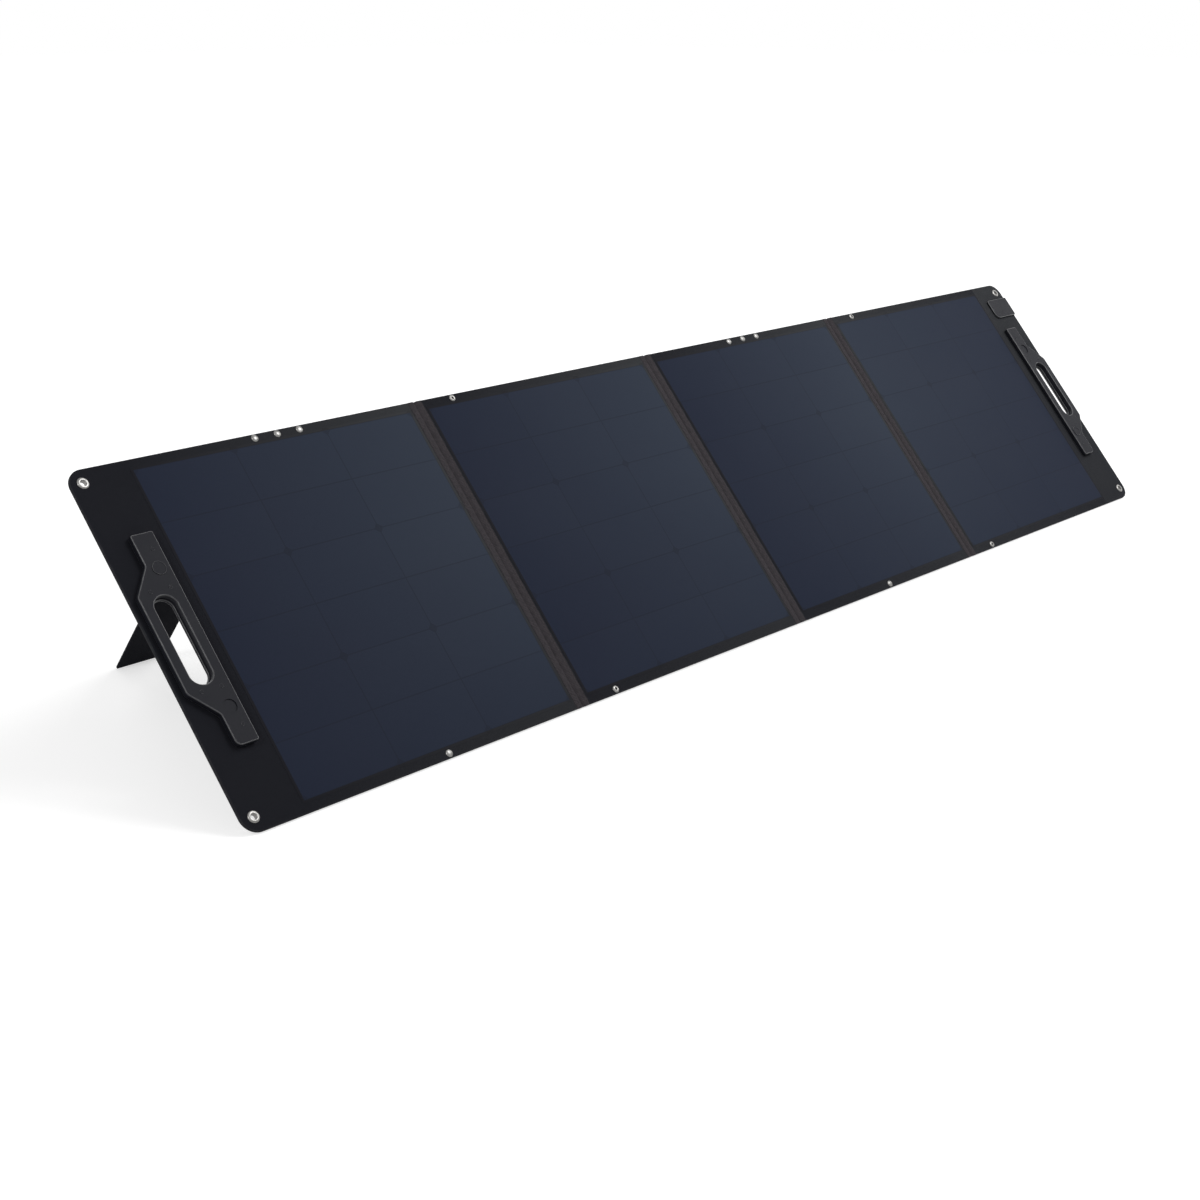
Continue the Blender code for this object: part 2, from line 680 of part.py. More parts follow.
def add_junction(carrier, finishes):
    """Cover plate on the right flap's front, with the box, terminals and cable gland behind it."""
    high = PANEL_HEIGHT - JUNCTION_TOP
    low = high - BOX_HEIGHT
    right = PANEL_LENGTH / 2 - BOX_END
    left = right - BOX_WIDTH
    front = PANEL_DEPTH + FIT_GAP
    back = front + BOX_DEPTH
    add_junction_cover(high, carrier, finishes["plastic"])
    add_junction_box((left, right), (low, high), (front, back), carrier, finishes["plastic"])
    edge = BOX_WALL + FIT_GAP
    board = rectangle(left + edge, right - edge, low + edge, high - edge)
    board_back = back - edge
    add_plate(
        "terminal_board", board, board_back - TERMINAL_THICKNESS, board_back, carrier, finishes["circuit"]
    )
    add_gland(left - FIT_GAP, (front + back) / 2, (low + high) / 2, carrier, finishes["plastic"])


def build_panel():
    """Model the whole panel, standing open on its legs."""
    clear_scene()
    finishes = make_materials()
    stand = Carrier("stand", (0.0, 0.0, 0.0), None, SLOPE_ANGLE - math.pi / 2)
    stand.empty.location = (0.0, -STAND_CENTRE, FLOOR_LIFT)
    panels = {2: Carrier("panel_2", (0.0, 0.0, 0.0), stand)}
    panels[1] = Carrier("panel_1", (-FOLD_PITCH, -FRONT_FOLD_GAP, 0.0), panels[2])
    panels[3] = Carrier("panel_3", (0.0, PANEL_DEPTH + BACK_FOLD_GAP, 0.0), panels[2])
    panels[4] = Carrier("panel_4", (FOLD_PITCH, -FRONT_FOLD_GAP, 0.0), panels[3])
    for number, carrier in panels.items():
        add_layers(number, carrier, finishes)
        add_eyelets(number, carrier, finishes)
    for label, number, side in (("left", 1, -1), ("right", 4, 1)):
        add_flap_board(f"flap_board_{label}", side, panels[number], finishes)
        add_grommets(label, side, panels[number], finishes)
        add_handle(label, side, panels[number], finishes)
    for letter, fold_x, number in (("a", -FOLD_PITCH, 1), ("b", 0.0, 2), ("c", FOLD_PITCH, 3)):
        add_seam(letter, fold_x, panels[number], panels[number + 1], finishes)
    for number, side in ((1, -1), (3, 1)):
        add_leg(number, side, panels[number], finishes)
    add_junction(panels[4], finishes)
    bpy.context.view_layer.update()


build_panel()
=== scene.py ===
"""Looks of a folding solar panel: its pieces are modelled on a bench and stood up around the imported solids.

Bench places have X along the panel, Y up its slope and Z out of its front face, in metres.
"""

import json
import math

import bpy
from mathutils import Matrix, Vector


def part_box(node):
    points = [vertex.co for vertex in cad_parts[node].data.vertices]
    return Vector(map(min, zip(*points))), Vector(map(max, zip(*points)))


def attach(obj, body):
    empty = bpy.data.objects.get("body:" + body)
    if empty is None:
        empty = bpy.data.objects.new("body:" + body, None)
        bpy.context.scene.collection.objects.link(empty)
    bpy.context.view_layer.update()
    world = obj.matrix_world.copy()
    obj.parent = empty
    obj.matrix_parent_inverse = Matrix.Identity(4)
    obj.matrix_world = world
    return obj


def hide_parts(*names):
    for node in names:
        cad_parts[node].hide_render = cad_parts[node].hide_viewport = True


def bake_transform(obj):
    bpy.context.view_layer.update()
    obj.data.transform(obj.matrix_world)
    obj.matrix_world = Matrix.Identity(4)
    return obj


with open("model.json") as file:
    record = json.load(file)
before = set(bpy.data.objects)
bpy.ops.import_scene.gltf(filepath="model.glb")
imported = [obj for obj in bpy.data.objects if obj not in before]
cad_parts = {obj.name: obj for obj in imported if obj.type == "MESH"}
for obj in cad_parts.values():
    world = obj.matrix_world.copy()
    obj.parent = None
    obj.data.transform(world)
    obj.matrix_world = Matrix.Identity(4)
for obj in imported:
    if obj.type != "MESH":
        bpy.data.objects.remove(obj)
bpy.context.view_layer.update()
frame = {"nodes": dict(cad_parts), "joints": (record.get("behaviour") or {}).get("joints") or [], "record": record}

bl_info = {
    "name": "Folding solar panel",
    "version": (1, 0, 0),
    "blender": (4, 5, 0),
    "location": "3D View > Sidebar > Solar panel",
    "description": "Models and finishes the pieces of a folding solar panel around its solids",
    "category": "Object",
}

JOINTS = {joint["name"]: joint for joint in frame["joints"]}
BODY_OF = {node: body for body, nodes in frame["record"]["behaviour"]["bodies"].items() for node in nodes}
ACROSS = Vector((1, 0, 0))
TOUCH = 1e-5
MERGE = 4e-6
POLE = 2e-6

# The bench frame: up the slope is the middle fold's axis, and the origin lies on the film's lower edge line
UP = Vector(JOINTS["fold_middle"]["axis"]).normalized()
FRONT = ACROSS.cross(UP)
SLOPE = math.atan2(UP.z, UP.y)


def reach(node, direction):
    """Lowest and highest place of a solid along a direction."""
    places = [corner.co.dot(direction) for corner in frame["nodes"][node].data.vertices]
    return min(places), max(places)


ORIGIN = FRONT * reach("front_film_2", FRONT)[1] + UP * reach("back_cover_2", UP)[0]
BENCH = Matrix((
    (ACROSS.x, UP.x, FRONT.x, ORIGIN.x),
    (ACROSS.y, UP.y, FRONT.y, ORIGIN.y),
    (ACROSS.z, UP.z, FRONT.z, ORIGIN.z),
    (0, 0, 0, 1),
))


def bench_box(node):
    """Lowest and highest corner of a solid on the bench."""
    inverse = BENCH.inverted()
    places = [inverse @ corner.co for corner in frame["nodes"][node].data.vertices]
    low = Vector(min(place[axis] for place in places) for axis in range(3))
    high = Vector(max(place[axis] for place in places) for axis in range(3))
    return low, high


def bench_middle(node):
    """Middle of a solid's box on the bench."""
    low, high = bench_box(node)
    return (low + high) / 2


FILM_LOW, FILM_HIGH = bench_box("front_film_1")
FOLD_PITCH = bench_middle("front_film_2").x - bench_middle("front_film_1").x
FABRIC_FRONT = bench_box("front_cover_2")[1].z
FABRIC_BACK = bench_box("back_cover_2")[0].z
METAL_NODES = [name for name in frame["nodes"] if name.startswith(("grommet", "eyelet", "leg_rivet"))]
STUDS = [name for name in METAL_NODES if name.startswith("leg_rivet")]
STUDS += ["eyelet_bottom_1", "eyelet_bottom_3"]
SEGMENTS = (1, 2, 3, 4)
FLAPS = {1: "left", 4: "right"}
LEGS = {1: "leg_left", 3: "leg_right"}


def length(name, description, default):
    """A length that a user can change."""
    return bpy.props.FloatProperty(
        name=name, description=description, default=default, unit="LENGTH", min=0.0, precision=5
    )


def power(name, description, default):
    """A lamp's power that a user can change."""
    return bpy.props.FloatProperty(name=name, description=description, default=default, subtype="POWER")


def colour(name, description, default):
    """A colour that a user can change."""
    return bpy.props.FloatVectorProperty(
        name=name, description=description, default=default, subtype="COLOR", size=3, min=0.0, max=1.0
    )


class SegmentSizes(bpy.types.PropertyGroup):
    """Sizes of the laminates, the fabric covers and the hinge tapes."""

    columns: bpy.props.IntProperty(name="Columns", description="Cells across a laminate", default=3, min=1)
    rows: bpy.props.IntProperty(name="Rows", description="Cells up a laminate", default=6, min=1)
    margin: length("Margin", "Plain film round the cells", 0.004)
    cell_gap: length("Cell gap", "Gap between two cells", 0.0020)
    cell_corner: length("Cell corner", "Cut corner of a cell, on every second line", 0.0085)
    cell_relief: length("Cell relief", "How far the film stands over a cell", 0.00005)
    corner: length("Corner", "Radius of the panel's own corners", 0.025)
    rim: length("Rim", "Rounding of the fabric's edge", 0.0012)
    weld_gap: length("Weld gap", "Parting line between the front and back fabric", 0.0003)
    crease: length("Crease", "Depth of a hinge tape's fold line in front", 0.0024)
    back_crease: length("Back crease", "Depth of a hinge tape's fold line behind", 0.0010)
    stitch: length("Stitch", "Length of a stitch", 0.0042)
    stitch_pitch: length("Stitch pitch", "Distance from one stitch to the next", 0.006)
    thread: length("Thread", "Thickness of the sewing thread", 0.0009)


class HandleSizes(bpy.types.PropertyGroup):
    """Sizes of the carry handles."""

    tab: length("Tab", "Width of a handle's end tabs", 0.035)
    shoulder_start: length("Shoulder start", "Distance between the tabs", 0.222)
    shoulder_end: length("Shoulder end", "Length of the wide middle", 0.144)
    fillet: length("Fillet", "Radius of the outline's corners", 0.003)
    foot_fillet: length("Foot fillet", "Radius of the lower tab's outer corner", 0.009)
    edge: length("Edge", "Rounding of the front shell's edges", 0.0014)
    back_edge: length("Back edge", "Rounding of the rear shell's edges", 0.0014)
    grip: length("Grip", "Rounding of the slot's rear mouth", 0.0040)
    slot_width: length("Slot width", "Width of the hand slot in the shells", 0.035)
    slot_length: length("Slot length", "Length of the hand slot in the shells", 0.132)
    slot_inset: length("Slot inset", "From the handle's outer edge to the slot's middle", 0.033)
    lining: length("Lining", "How far the slot's lining reaches into the flap", 0.0020)
    ledge: length("Ledge", "How far the slot's lining stands into the slot", 0.0020)
    boss: length("Boss", "Radius of the round bosses over the magnets", 0.010)
    boss_rise: length("Boss rise", "Height of a boss over the shell, or depth of its socket", 0.0012)
    pin: length("Pin", "Radius of the small pin heads", 0.0028)


class MetalSizes(bpy.types.PropertyGroup):
    """Sizes of the eyelets, rivets and grommets."""

    eyelet_hole: length("Eyelet hole", "Radius of an eyelet's hole", 0.0020)
    grommet_hole: length("Grommet hole", "Radius of a grommet's hole", 0.0043)
    wall: length("Wall", "Wall of the barrel", 0.0010)
    roll: length("Roll", "Rolled rim round a flange", 0.0006)
    steps: bpy.props.IntProperty(name="Steps", description="Facets round a ring", default=32, min=8)


class LegSizes(bpy.types.PropertyGroup):
    """Sizes of the prop legs."""

    corner: length("Corner", "Radius of a foot's corners", 0.007)
    rim: length("Rim", "Rounding of a leg's edges", 0.0011)
    hem: length("Hem", "From a leg's edge to its stitching", 0.005)
    hinge_reach: length("Hinge reach", "Hinge fabric along the leg", 0.030)
    hinge_fabric: length("Hinge fabric", "Thickness of the hinge fabric", 0.0007)


class JunctionSizes(bpy.types.PropertyGroup):
    """Sizes of the junction box."""

    plate_corner: length("Plate corner", "Radius of the cover plate's corners", 0.004)
    plate_edge: length("Plate edge", "Rounding of the cover plate's face", 0.0012)
    housing_corner: length("Housing corner", "Radius of the housing's corners", 0.006)
    housing_edge: length("Housing edge", "Rounding of the housing's face", 0.0016)


class Colours(bpy.types.PropertyGroup):
    """Colours of the finishes."""

    film: colour("Film", "Front film over the cells", (0.0130, 0.0175, 0.0335))
    # Painted sheen and random mottle: the film's colour where both are highest
    film_sheen_and_mottle: colour("Light film", "Film towards its upper right corner", (0.0325, 0.0418, 0.0610))
    fabric: colour("Fabric", "Coated fabric", (0.0092, 0.0097, 0.0130))
    fabric_light: colour("Raised fabric", "Raised threads of the fabric", (0.0180, 0.0187, 0.0235))
    back: colour("Back", "Fabric of the back", (0.0320, 0.0325, 0.0360))
    back_light: colour("Raised back", "Raised threads of the back", (0.0660, 0.0670, 0.0730))
    # Painted sheen: the front fabric's colour where its painted sheen is strongest
    fabric_sheen: colour("Fabric sheen", "Front fabric where it takes the light", (0.0400, 0.0420, 0.0450))
    tape: colour("Tape", "Hinge tape", (0.0300, 0.0265, 0.0300))
    tape_light: colour("Worn tape", "Raised threads of the tape", (0.0700, 0.0610, 0.0680))
    plastic: colour("Plastic", "Moulded handles", (0.0100, 0.0105, 0.0145))
    # Painted highlight as well as wear: the colour that rounded edges are painted towards
    plastic_wear_and_highlight: colour("Worn and highlighted plastic", "Rubbed edges of the handles", (0.0600, 0.0620, 0.0660))
    metal: colour("Metal", "Nickel plating", (0.34, 0.335, 0.325))
    metal_dark: colour("Dull metal", "Tarnish in the plating", (0.10, 0.098, 0.095))


class StageSettings(bpy.types.PropertyGroup):
    """Camera and light."""

    camera: bpy.props.FloatVectorProperty(
        name="Camera", description="Place of the camera", default=(-2.4310, -2.1000, 0.9985), subtype="XYZ"
    )
    aim: bpy.props.FloatVectorProperty(
        name="Aim", description="Point in the middle of the picture", default=(-0.1846, -0.0405, 0.0228),
        subtype="XYZ",
    )
    lens: bpy.props.FloatProperty(name="Lens", description="Focal length in millimetres", default=56.33)
    key: power("Key", "Power of the key light", 90.0)
    side: power("Side", "Power of the side light", 36.0)
    fill: power("Fill", "Power of the fill light", 14.0)
    back: power("Back", "Power of the back light", 60.0)
    surround: bpy.props.FloatProperty(name="Surround", description="Light from all round", default=0.32)


def settings(group):
    """The scene's values of one group."""
    return getattr(bpy.context.scene, f"solar_panel_{group}")


# Modelling by hand, on the bench

WEAR_AND_HIGHLIGHT = "worn"
SQUARE = 0.999
SMOOTH_ANGLE = math.radians(35)
SHARP_ANGLE = math.radians(50)
FLAT_ANGLE = math.radians(1)
SLOT_STEPS = 48
SLOT_DEPTH = 0.05
HOLE_STEPS = 24
HOLE_DEPTH = 0.03


def pick(*pieces):
    """Select only these objects, the last one active."""
    bpy.ops.object.select_all(action="DESELECT")
    for piece in pieces:
        piece.select_set(True)
        bpy.context.view_layer.objects.active = piece


def settle(piece):
    """Put an object's place, turn and scale into its mesh."""
    pick(piece)
    bpy.ops.object.transform_apply(location=True, rotation=True, scale=True)


def begin(add, name, scale=(1, 1, 1), **values):
    """Add a primitive with its values, named and at its scale, as a start."""
    pick()
    add(**values)
    piece = bpy.context.object
    piece.name = name
    piece.scale = scale
    settle(piece)
    return piece


def add_box(name, low, high):
    """A box between two corners, as a start."""
    low = Vector(low)
    high = Vector(high)
    return begin(bpy.ops.mesh.primitive_cube_add, name, high - low, size=1, location=(low + high) / 2)


def add_drum(name, middle, radius, depth, steps):
    """A drum that stands on the bench, as a start."""
    return begin(
        bpy.ops.mesh.primitive_cylinder_add, name, vertices=steps, radius=radius, depth=depth, location=middle
    )


def corners_of(mesh, part):
    """Places of the corners of a vertex, edge or face."""
    if isinstance(part, bpy.types.MeshVertex):
        return [part.co]
    return [mesh.vertices[index].co for index in part.vertices]


def leave():
    """Leave edit mode."""
    bpy.ops.object.mode_set(mode="OBJECT")


def mark_all():
    """Select the active piece all over, in edit mode."""
    bpy.ops.object.mode_set(mode="EDIT")
    bpy.ops.mesh.select_all(action="SELECT")


def mark_none(piece, kind):
    """Open a piece in edit mode, with nothing on it selected."""
    pick(piece)
    bpy.ops.object.mode_set(mode="EDIT")
    bpy.ops.mesh.select_mode(type=kind)
    bpy.ops.mesh.select_all(action="DESELECT")


def mark(piece, kind, rule):
    """Select the vertices, edges or faces whose corners pass a rule, in edit mode."""
    mark_none(piece, kind)
    leave()
    mesh = piece.data
    parts = {"VERT": mesh.vertices, "EDGE": mesh.edges, "FACE": mesh.polygons}[kind]
    for part in parts:
        part.select = rule(corners_of(mesh, part))
    bpy.ops.object.mode_set(mode="EDIT")


def mark_sharp(piece, rule):
    """Select the sharp edges whose corners pass a rule, in edit mode."""
    mark_none(piece, "EDGE")
    bpy.ops.mesh.edges_select_sharp(sharpness=SHARP_ANGLE)
    leave()
    for edge in piece.data.edges:
        edge.select = edge.select and rule(corners_of(piece.data, edge))
    bpy.ops.object.mode_set(mode="EDIT")


def move(piece, kind, rule, value):
    """Move the vertices, edges or faces that pass a rule."""
    mark(piece, kind, rule)
    bpy.ops.transform.translate(value=value)
    leave()


def pull(piece, rule, value):
    """Pull new faces out of the edges that pass a rule."""
    mark(piece, "EDGE", rule)
    bpy.ops.mesh.extrude_edges_move(TRANSFORM_OT_translate={"value": value})
    leave()


def at_height(height):
    """Rule for what lies at one height over the bench."""
    return lambda corners: all(abs(corner.z - height) < TOUCH for corner in corners)


def at_level(y):
    """Rule for what lies at one level up the slope."""
    return lambda corners: all(abs(corner.y - y) < TOUCH for corner in corners)


def upright(corners):
    """Rule for edges that stand on the bench."""
    run = corners[0] - corners[1]
    return abs(run.z) > max(abs(run.x), abs(run.y))


def round_edges(width, steps):
    """Round the selected edges, leave edit mode and mark the new faces for edge wear and painted highlight."""
    bpy.ops.mesh.bevel(offset=width, segments=steps, affect="EDGES")
    leave()
    mark_wear_and_highlight(bpy.context.object, lambda face: face.select and max(abs(part) for part in face.normal) < SQUARE)


def mark_wear_and_highlight(piece, rule):
    """Mark the faces that pass a rule for edge wear and painted highlight."""
    mesh = piece.data
    worn = mesh.attributes.get(WEAR_AND_HIGHLIGHT) or mesh.attributes.new(WEAR_AND_HIGHLIGHT, "FLOAT", "FACE")
    for face, value in zip(mesh.polygons, worn.data):
        if rule(face):
            value.value = 1.0


def make_outward():
    """Merge doubles, turn all faces outwards and leave edit mode."""
    bpy.ops.mesh.select_all(action="SELECT")
    bpy.ops.mesh.remove_doubles(threshold=MERGE)
    bpy.ops.mesh.normals_make_consistent(inside=False)
    leave()


def apply_modifier(piece, kind, **values):
    """Add a modifier with its values and apply it."""
    pick(piece)
    bpy.ops.object.modifier_add(type=kind)
    modifier = piece.modifiers[-1]
    for name, value in values.items():
        setattr(modifier, name, value)
    bpy.ops.object.modifier_apply(modifier=modifier.name)


def cut(piece, cutter):
    """Cut a shape out of a piece."""
    apply_modifier(piece, "BOOLEAN", object=cutter, operation="DIFFERENCE", solver="MANIFOLD")


def remove(piece):
    """Delete a helper object and its mesh."""
    bpy.data.meshes.remove(piece.data)


def copy_of(piece, name, shift):
    """Copy of a piece with its own mesh, moved along the bench."""
    pick(piece)
    bpy.ops.object.duplicate(linked=False)
    twin = bpy.context.object
    twin.name = name
    twin.location = shift
    settle(twin)
    return twin


def join(pieces, name):
    """Several objects as one."""
    pick(*pieces)
    if len(pieces) > 1:
        bpy.ops.object.join()
    piece = bpy.context.object
    piece.name = name
    return piece


def add_stadium(name, middle, width, run, depth):
    """An upright slot shape with round ends, as a start."""
    piece = add_drum(name, middle, width / 2, depth, SLOT_STEPS)
    straight = (run - width) / 2
    for way in (1, -1):
        move(piece, "VERT", lambda c: (c[0].y - middle.y) * way > TOUCH, (0, way * straight, 0))
    return piece


def add_turned(name, profile, steps):
    """A shape turned round Z from a row of (radius, height) points; a ring's row ends where it starts."""
    radius, height = profile[0]
    circle = bpy.ops.mesh.primitive_circle_add
    piece = begin(circle, name, vertices=steps, radius=radius, location=(0, 0, height))
    mark_all()
    for next_radius, next_height in profile[1:]:
        bpy.ops.mesh.extrude_edges_move(TRANSFORM_OT_translate={"value": (0, 0, next_height - height)})
        grow = next_radius / radius
        bpy.ops.transform.resize(value=(grow, grow, 1), center_override=(0, 0, 0))
        radius = next_radius
        height = next_height
    make_outward()
    return piece


def add_head(name, seat, radius, rise, steps, rim, dish, edge):
    """A low round head on its seat; its rim is a share of its radius, its dish and edge of its rise."""
    piece = add_drum(name, seat, radius, 2 * rise, steps)
    mark(piece, "FACE", at_height(seat.z + rise))
    bpy.ops.mesh.inset(thickness=rim * radius)
    bpy.ops.transform.translate(value=(0, 0, -dish * rise))
    leave()
    mark_sharp(piece, lambda corners: all(corner.z > seat.z for corner in corners))
    round_edges(edge * rise, 2)
    return piece


def stitch_row(start, count):
    """A row of stitches up the bench from a start point."""
    sizes = settings("segment")
    rounding = 0.3 * sizes.thread
    half = Vector((sizes.thread, sizes.stitch, sizes.thread)) / 2
    row = add_box("stitches", Vector(start) - half, Vector(start) + half)
    mark(row, "FACE", lambda corners: max(c.y for c in corners) - min(c.y for c in corners) < TOUCH)
    bpy.ops.mesh.inset(thickness=rounding)
    leave()
    mark(row, "EDGE", lambda corners: abs(corners[0].y - corners[1].y) > sizes.stitch / 2)
    round_edges(rounding, 1)
    apply_modifier(
        row, "ARRAY", count=count, use_relative_offset=False, use_constant_offset=True,
        constant_offset_displace=(0, sizes.stitch_pitch, 0),
    )
    return row


def give_finish(piece, finish):
    """Give a piece its finish and smooth its round faces."""
    pick(piece)
    bpy.ops.object.shade_smooth_by_angle(angle=SMOOTH_ANGLE)
    apply_modifier(piece, "WEIGHTED_NORMAL", keep_sharp=True)
    piece.data.materials.clear()
    piece.data.materials.append(bpy.data.materials[finish])


def stand_up(piece, matrix=BENCH):
    """Take a piece from the bench to its place."""
    piece.matrix_world = matrix
    settle(piece)


def mount(piece, finish, body, slot, *nodes, matrix=BENCH):
    """Stand a piece up, finish it and let it ride with its body in the place of its solids."""
    stand_up(piece, matrix)
    give_finish(piece, finish)
    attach(piece, body)
    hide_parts(*nodes)


# Finishes


def add_node(tree, kind, inputs=(), **values):
    """A node with its values, and with sockets or plain numbers on its inputs."""
    node = tree.nodes.new(kind)
    for name, value in values.items():
        setattr(node, name, value)
    for key, value in dict(inputs).items():
        if isinstance(value, bpy.types.NodeSocket):
            tree.links.new(value, node.inputs[key])
        else:
            node.inputs[key].default_value = value
    return node


def maths(tree, operation, *values):
    """Result of a sum of one, two or three numbers."""
    return add_node(tree, "ShaderNodeMath", enumerate(values), operation=operation).outputs[0]


def mix_colour(tree, factor, first, second):
    """A colour between two."""
    node = add_node(tree, "ShaderNodeMix", data_type="RGBA")
    for socket, value in ((node.inputs[0], factor), (node.inputs[6], first), (node.inputs[7], second)):
        if isinstance(value, bpy.types.NodeSocket):
            tree.links.new(value, socket)
        elif socket.type == "RGBA":
            socket.default_value = (*value, 1.0)
        else:
            socket.default_value = value
    return node.outputs[2]


def new_group(name, inputs, outputs):
    """An empty shader group with number sockets, after its Vector input."""
    tree = bpy.data.node_groups.new(name, "ShaderNodeTree")
    tree.interface.new_socket(name="Vector", in_out="INPUT", socket_type="NodeSocketVector")
    for socket in inputs:
        tree.interface.new_socket(name=socket, in_out="INPUT", socket_type="NodeSocketFloat")
    for socket in outputs:
        tree.interface.new_socket(name=socket, in_out="OUTPUT", socket_type="NodeSocketFloat")
    return tree, tree.nodes.new("NodeGroupInput").outputs, tree.nodes.new("NodeGroupOutput").inputs


def make_weave():
    """Plain weave: threads that pass over and under each other."""
    tree, given, result = new_group("weave", ["Threads"], ["Height"])
    axes = add_node(tree, "ShaderNodeSeparateXYZ", {0: given["Vector"]}).outputs
    pace = maths(tree, "MULTIPLY", given["Threads"], math.pi)
    warp = maths(tree, "SINE", maths(tree, "MULTIPLY", axes["X"], pace))
    weft = maths(tree, "SINE", maths(tree, "MULTIPLY", axes["Y"], pace))
    over = maths(tree, "GREATER_THAN", maths(tree, "MULTIPLY", warp, weft), 0.0)
    warp_height = maths(tree, "MULTIPLY", maths(tree, "ABSOLUTE", warp), over)
    weft_height = maths(tree, "MULTIPLY", maths(tree, "ABSOLUTE", weft), maths(tree, "SUBTRACT", 1.0, over))
    tree.links.new(maths(tree, "ADD", warp_height, weft_height), result["Height"])


def make_grain():
    """Moulded grain: fine bumps and a broad change of tone."""
    tree, given, result = new_group("grain", ["Fine", "Broad"], ["Height", "Tone"])
    fine = add_node(
        tree, "ShaderNodeTexNoise", {"Vector": given["Vector"], "Scale": given["Fine"], "Detail": 3.0}
    )
    broad = add_node(
        tree, "ShaderNodeTexNoise", {"Vector": given["Vector"], "Scale": given["Broad"], "Detail": 4.0}
    )
    tree.links.new(fine.outputs[0], result["Height"])
    tree.links.new(broad.outputs[0], result["Tone"])


def make_edge_wear_and_highlight():
    """Edge wear and painted highlight: the faces marked on rounded edges, broken up by noise."""
    tree, given, result = new_group("rubbed edges", ["Least", "Most"], ["Mask"])
    worn = add_node(tree, "ShaderNodeAttribute", attribute_name=WEAR_AND_HIGHLIGHT).outputs["Fac"]
    patchy = add_node(tree, "ShaderNodeTexNoise", {"Vector": given["Vector"], "Scale": 60.0, "Detail": 4.0})
    share = add_node(
        tree, "ShaderNodeMapRange",
        {
            "Value": patchy.outputs[0], "From Min": 0.3, "From Max": 0.7,
            "To Min": given["Least"], "To Max": given["Most"],
        },
    ).outputs[0]
    tree.links.new(maths(tree, "MULTIPLY", worn, share), result["Mask"])


def make_dust():
    """Thin dust: specks and a soft cloud."""
    tree, given, result = new_group("dust", ["Amount"], ["Mask"])
    cloud = add_node(tree, "ShaderNodeTexNoise", {"Vector": given["Vector"], "Scale": 5.0, "Detail": 6.0})
    specks = add_node(tree, "ShaderNodeTexNoise", {"Vector": given["Vector"], "Scale": 700.0, "Detail": 2.0})
    both = maths(tree, "MULTIPLY", cloud.outputs[0], specks.outputs[0])
    tree.links.new(maths(tree, "MULTIPLY", both, given["Amount"]), result["Mask"])


def use_group(tree, name, vector, **values):
    """Place a shared group in a material."""
    node = add_node(tree, "ShaderNodeGroup", node_tree=bpy.data.node_groups[name])
    tree.links.new(vector, node.inputs["Vector"])
    for socket, value in values.items():
        node.inputs[socket].default_value = value
    return node.outputs


def new_finish(name, specular=0.5, turn=-SLOPE, centre=ORIGIN):
    """A material with its shader, and the places of its surface turned flat to the bench."""
    material = bpy.data.materials.new(name)
    material.use_nodes = True
    tree = material.node_tree
    shader = tree.nodes["Principled BSDF"]
    shader.inputs["Specular IOR Level"].default_value = specular
    place = add_node(tree, "ShaderNodeTexCoord").outputs["Object"]
    shift = -(Matrix.Rotation(turn, 3, "X") @ centre)
    flat = add_node(
        tree, "ShaderNodeMapping", {"Vector": place, "Location": shift, "Rotation": (turn, 0, 0)}
    ).outputs[0]
    return tree, shader, flat


def set_bump(tree, shader, height, distance):
    """Raise the surface by a height that changes over it."""
    relief = {"Height": height, "Distance": distance, "Strength": 1.0}
    bump = add_node(tree, "ShaderNodeBump", relief).outputs[0]
    tree.links.new(bump, shader.inputs["Normal"])


def set_roughness(tree, shader, tone, low, high):
    """Roughness that changes with a tone from 0 to 1."""
    rough = add_node(tree, "ShaderNodeMapRange", {"Value": tone, "To Min": low, "To Max": high}).outputs[0]
    tree.links.new(rough, shader.inputs["Roughness"])


def make_painted_sheen():
    """Painted sheen of a segment: painted lighter to its upper right, on the last segment to its upper left, and
    painted darker towards its foot.
    """
    tree, given, result = new_group("sheen", [], ["Across", "Upward", "Segment", "Tone"])
    middle_tone = 0.42
    margin = settings("segment").margin
    low = FILM_LOW + Vector((margin, margin, 0))
    field = FILM_HIGH - FILM_LOW - 2 * Vector((margin, margin, 0))
    axes = add_node(tree, "ShaderNodeSeparateXYZ", {0: given["Vector"]}).outputs
    along = maths(tree, "SUBTRACT", axes["X"], low.x)
    from_fold = maths(tree, "ADD", along, (FOLD_PITCH - field.x) / 2)
    segment = maths(tree, "FLOOR", maths(tree, "DIVIDE", from_fold, FOLD_PITCH))
    inside = maths(tree, "SUBTRACT", along, maths(tree, "MULTIPLY", segment, FOLD_PITCH))
    across = maths(tree, "DIVIDE", inside, field.x)
    upward = maths(tree, "DIVIDE", maths(tree, "SUBTRACT", axes["Y"], low.y), field.y)
    # Painted reflection: the last segment leans the other way, so its painted sheen runs the other way
    last_two = {"Value": segment, "From Min": 2.0, "From Max": 3.0, "To Min": 0.8, "To Max": -0.5}
    lean = add_node(tree, "ShaderNodeMapRange", last_two).outputs[0]
    level = maths(tree, "MULTIPLY_ADD", maths(tree, "SUBTRACT", across, 0.5), lean, middle_tone)
    # Painted shade: each segment is painted darker towards its foot
    painted_shade_low = {"Value": upward, "From Max": 0.6, "To Min": 0.55, "To Max": 1.0}
    foot = add_node(tree, "ShaderNodeMapRange", painted_shade_low).outputs[0]
    tree.links.new(across, result["Across"])
    tree.links.new(upward, result["Upward"])
    tree.links.new(segment, result["Segment"])
    tree.links.new(maths(tree, "MULTIPLY", level, foot), result["Tone"])


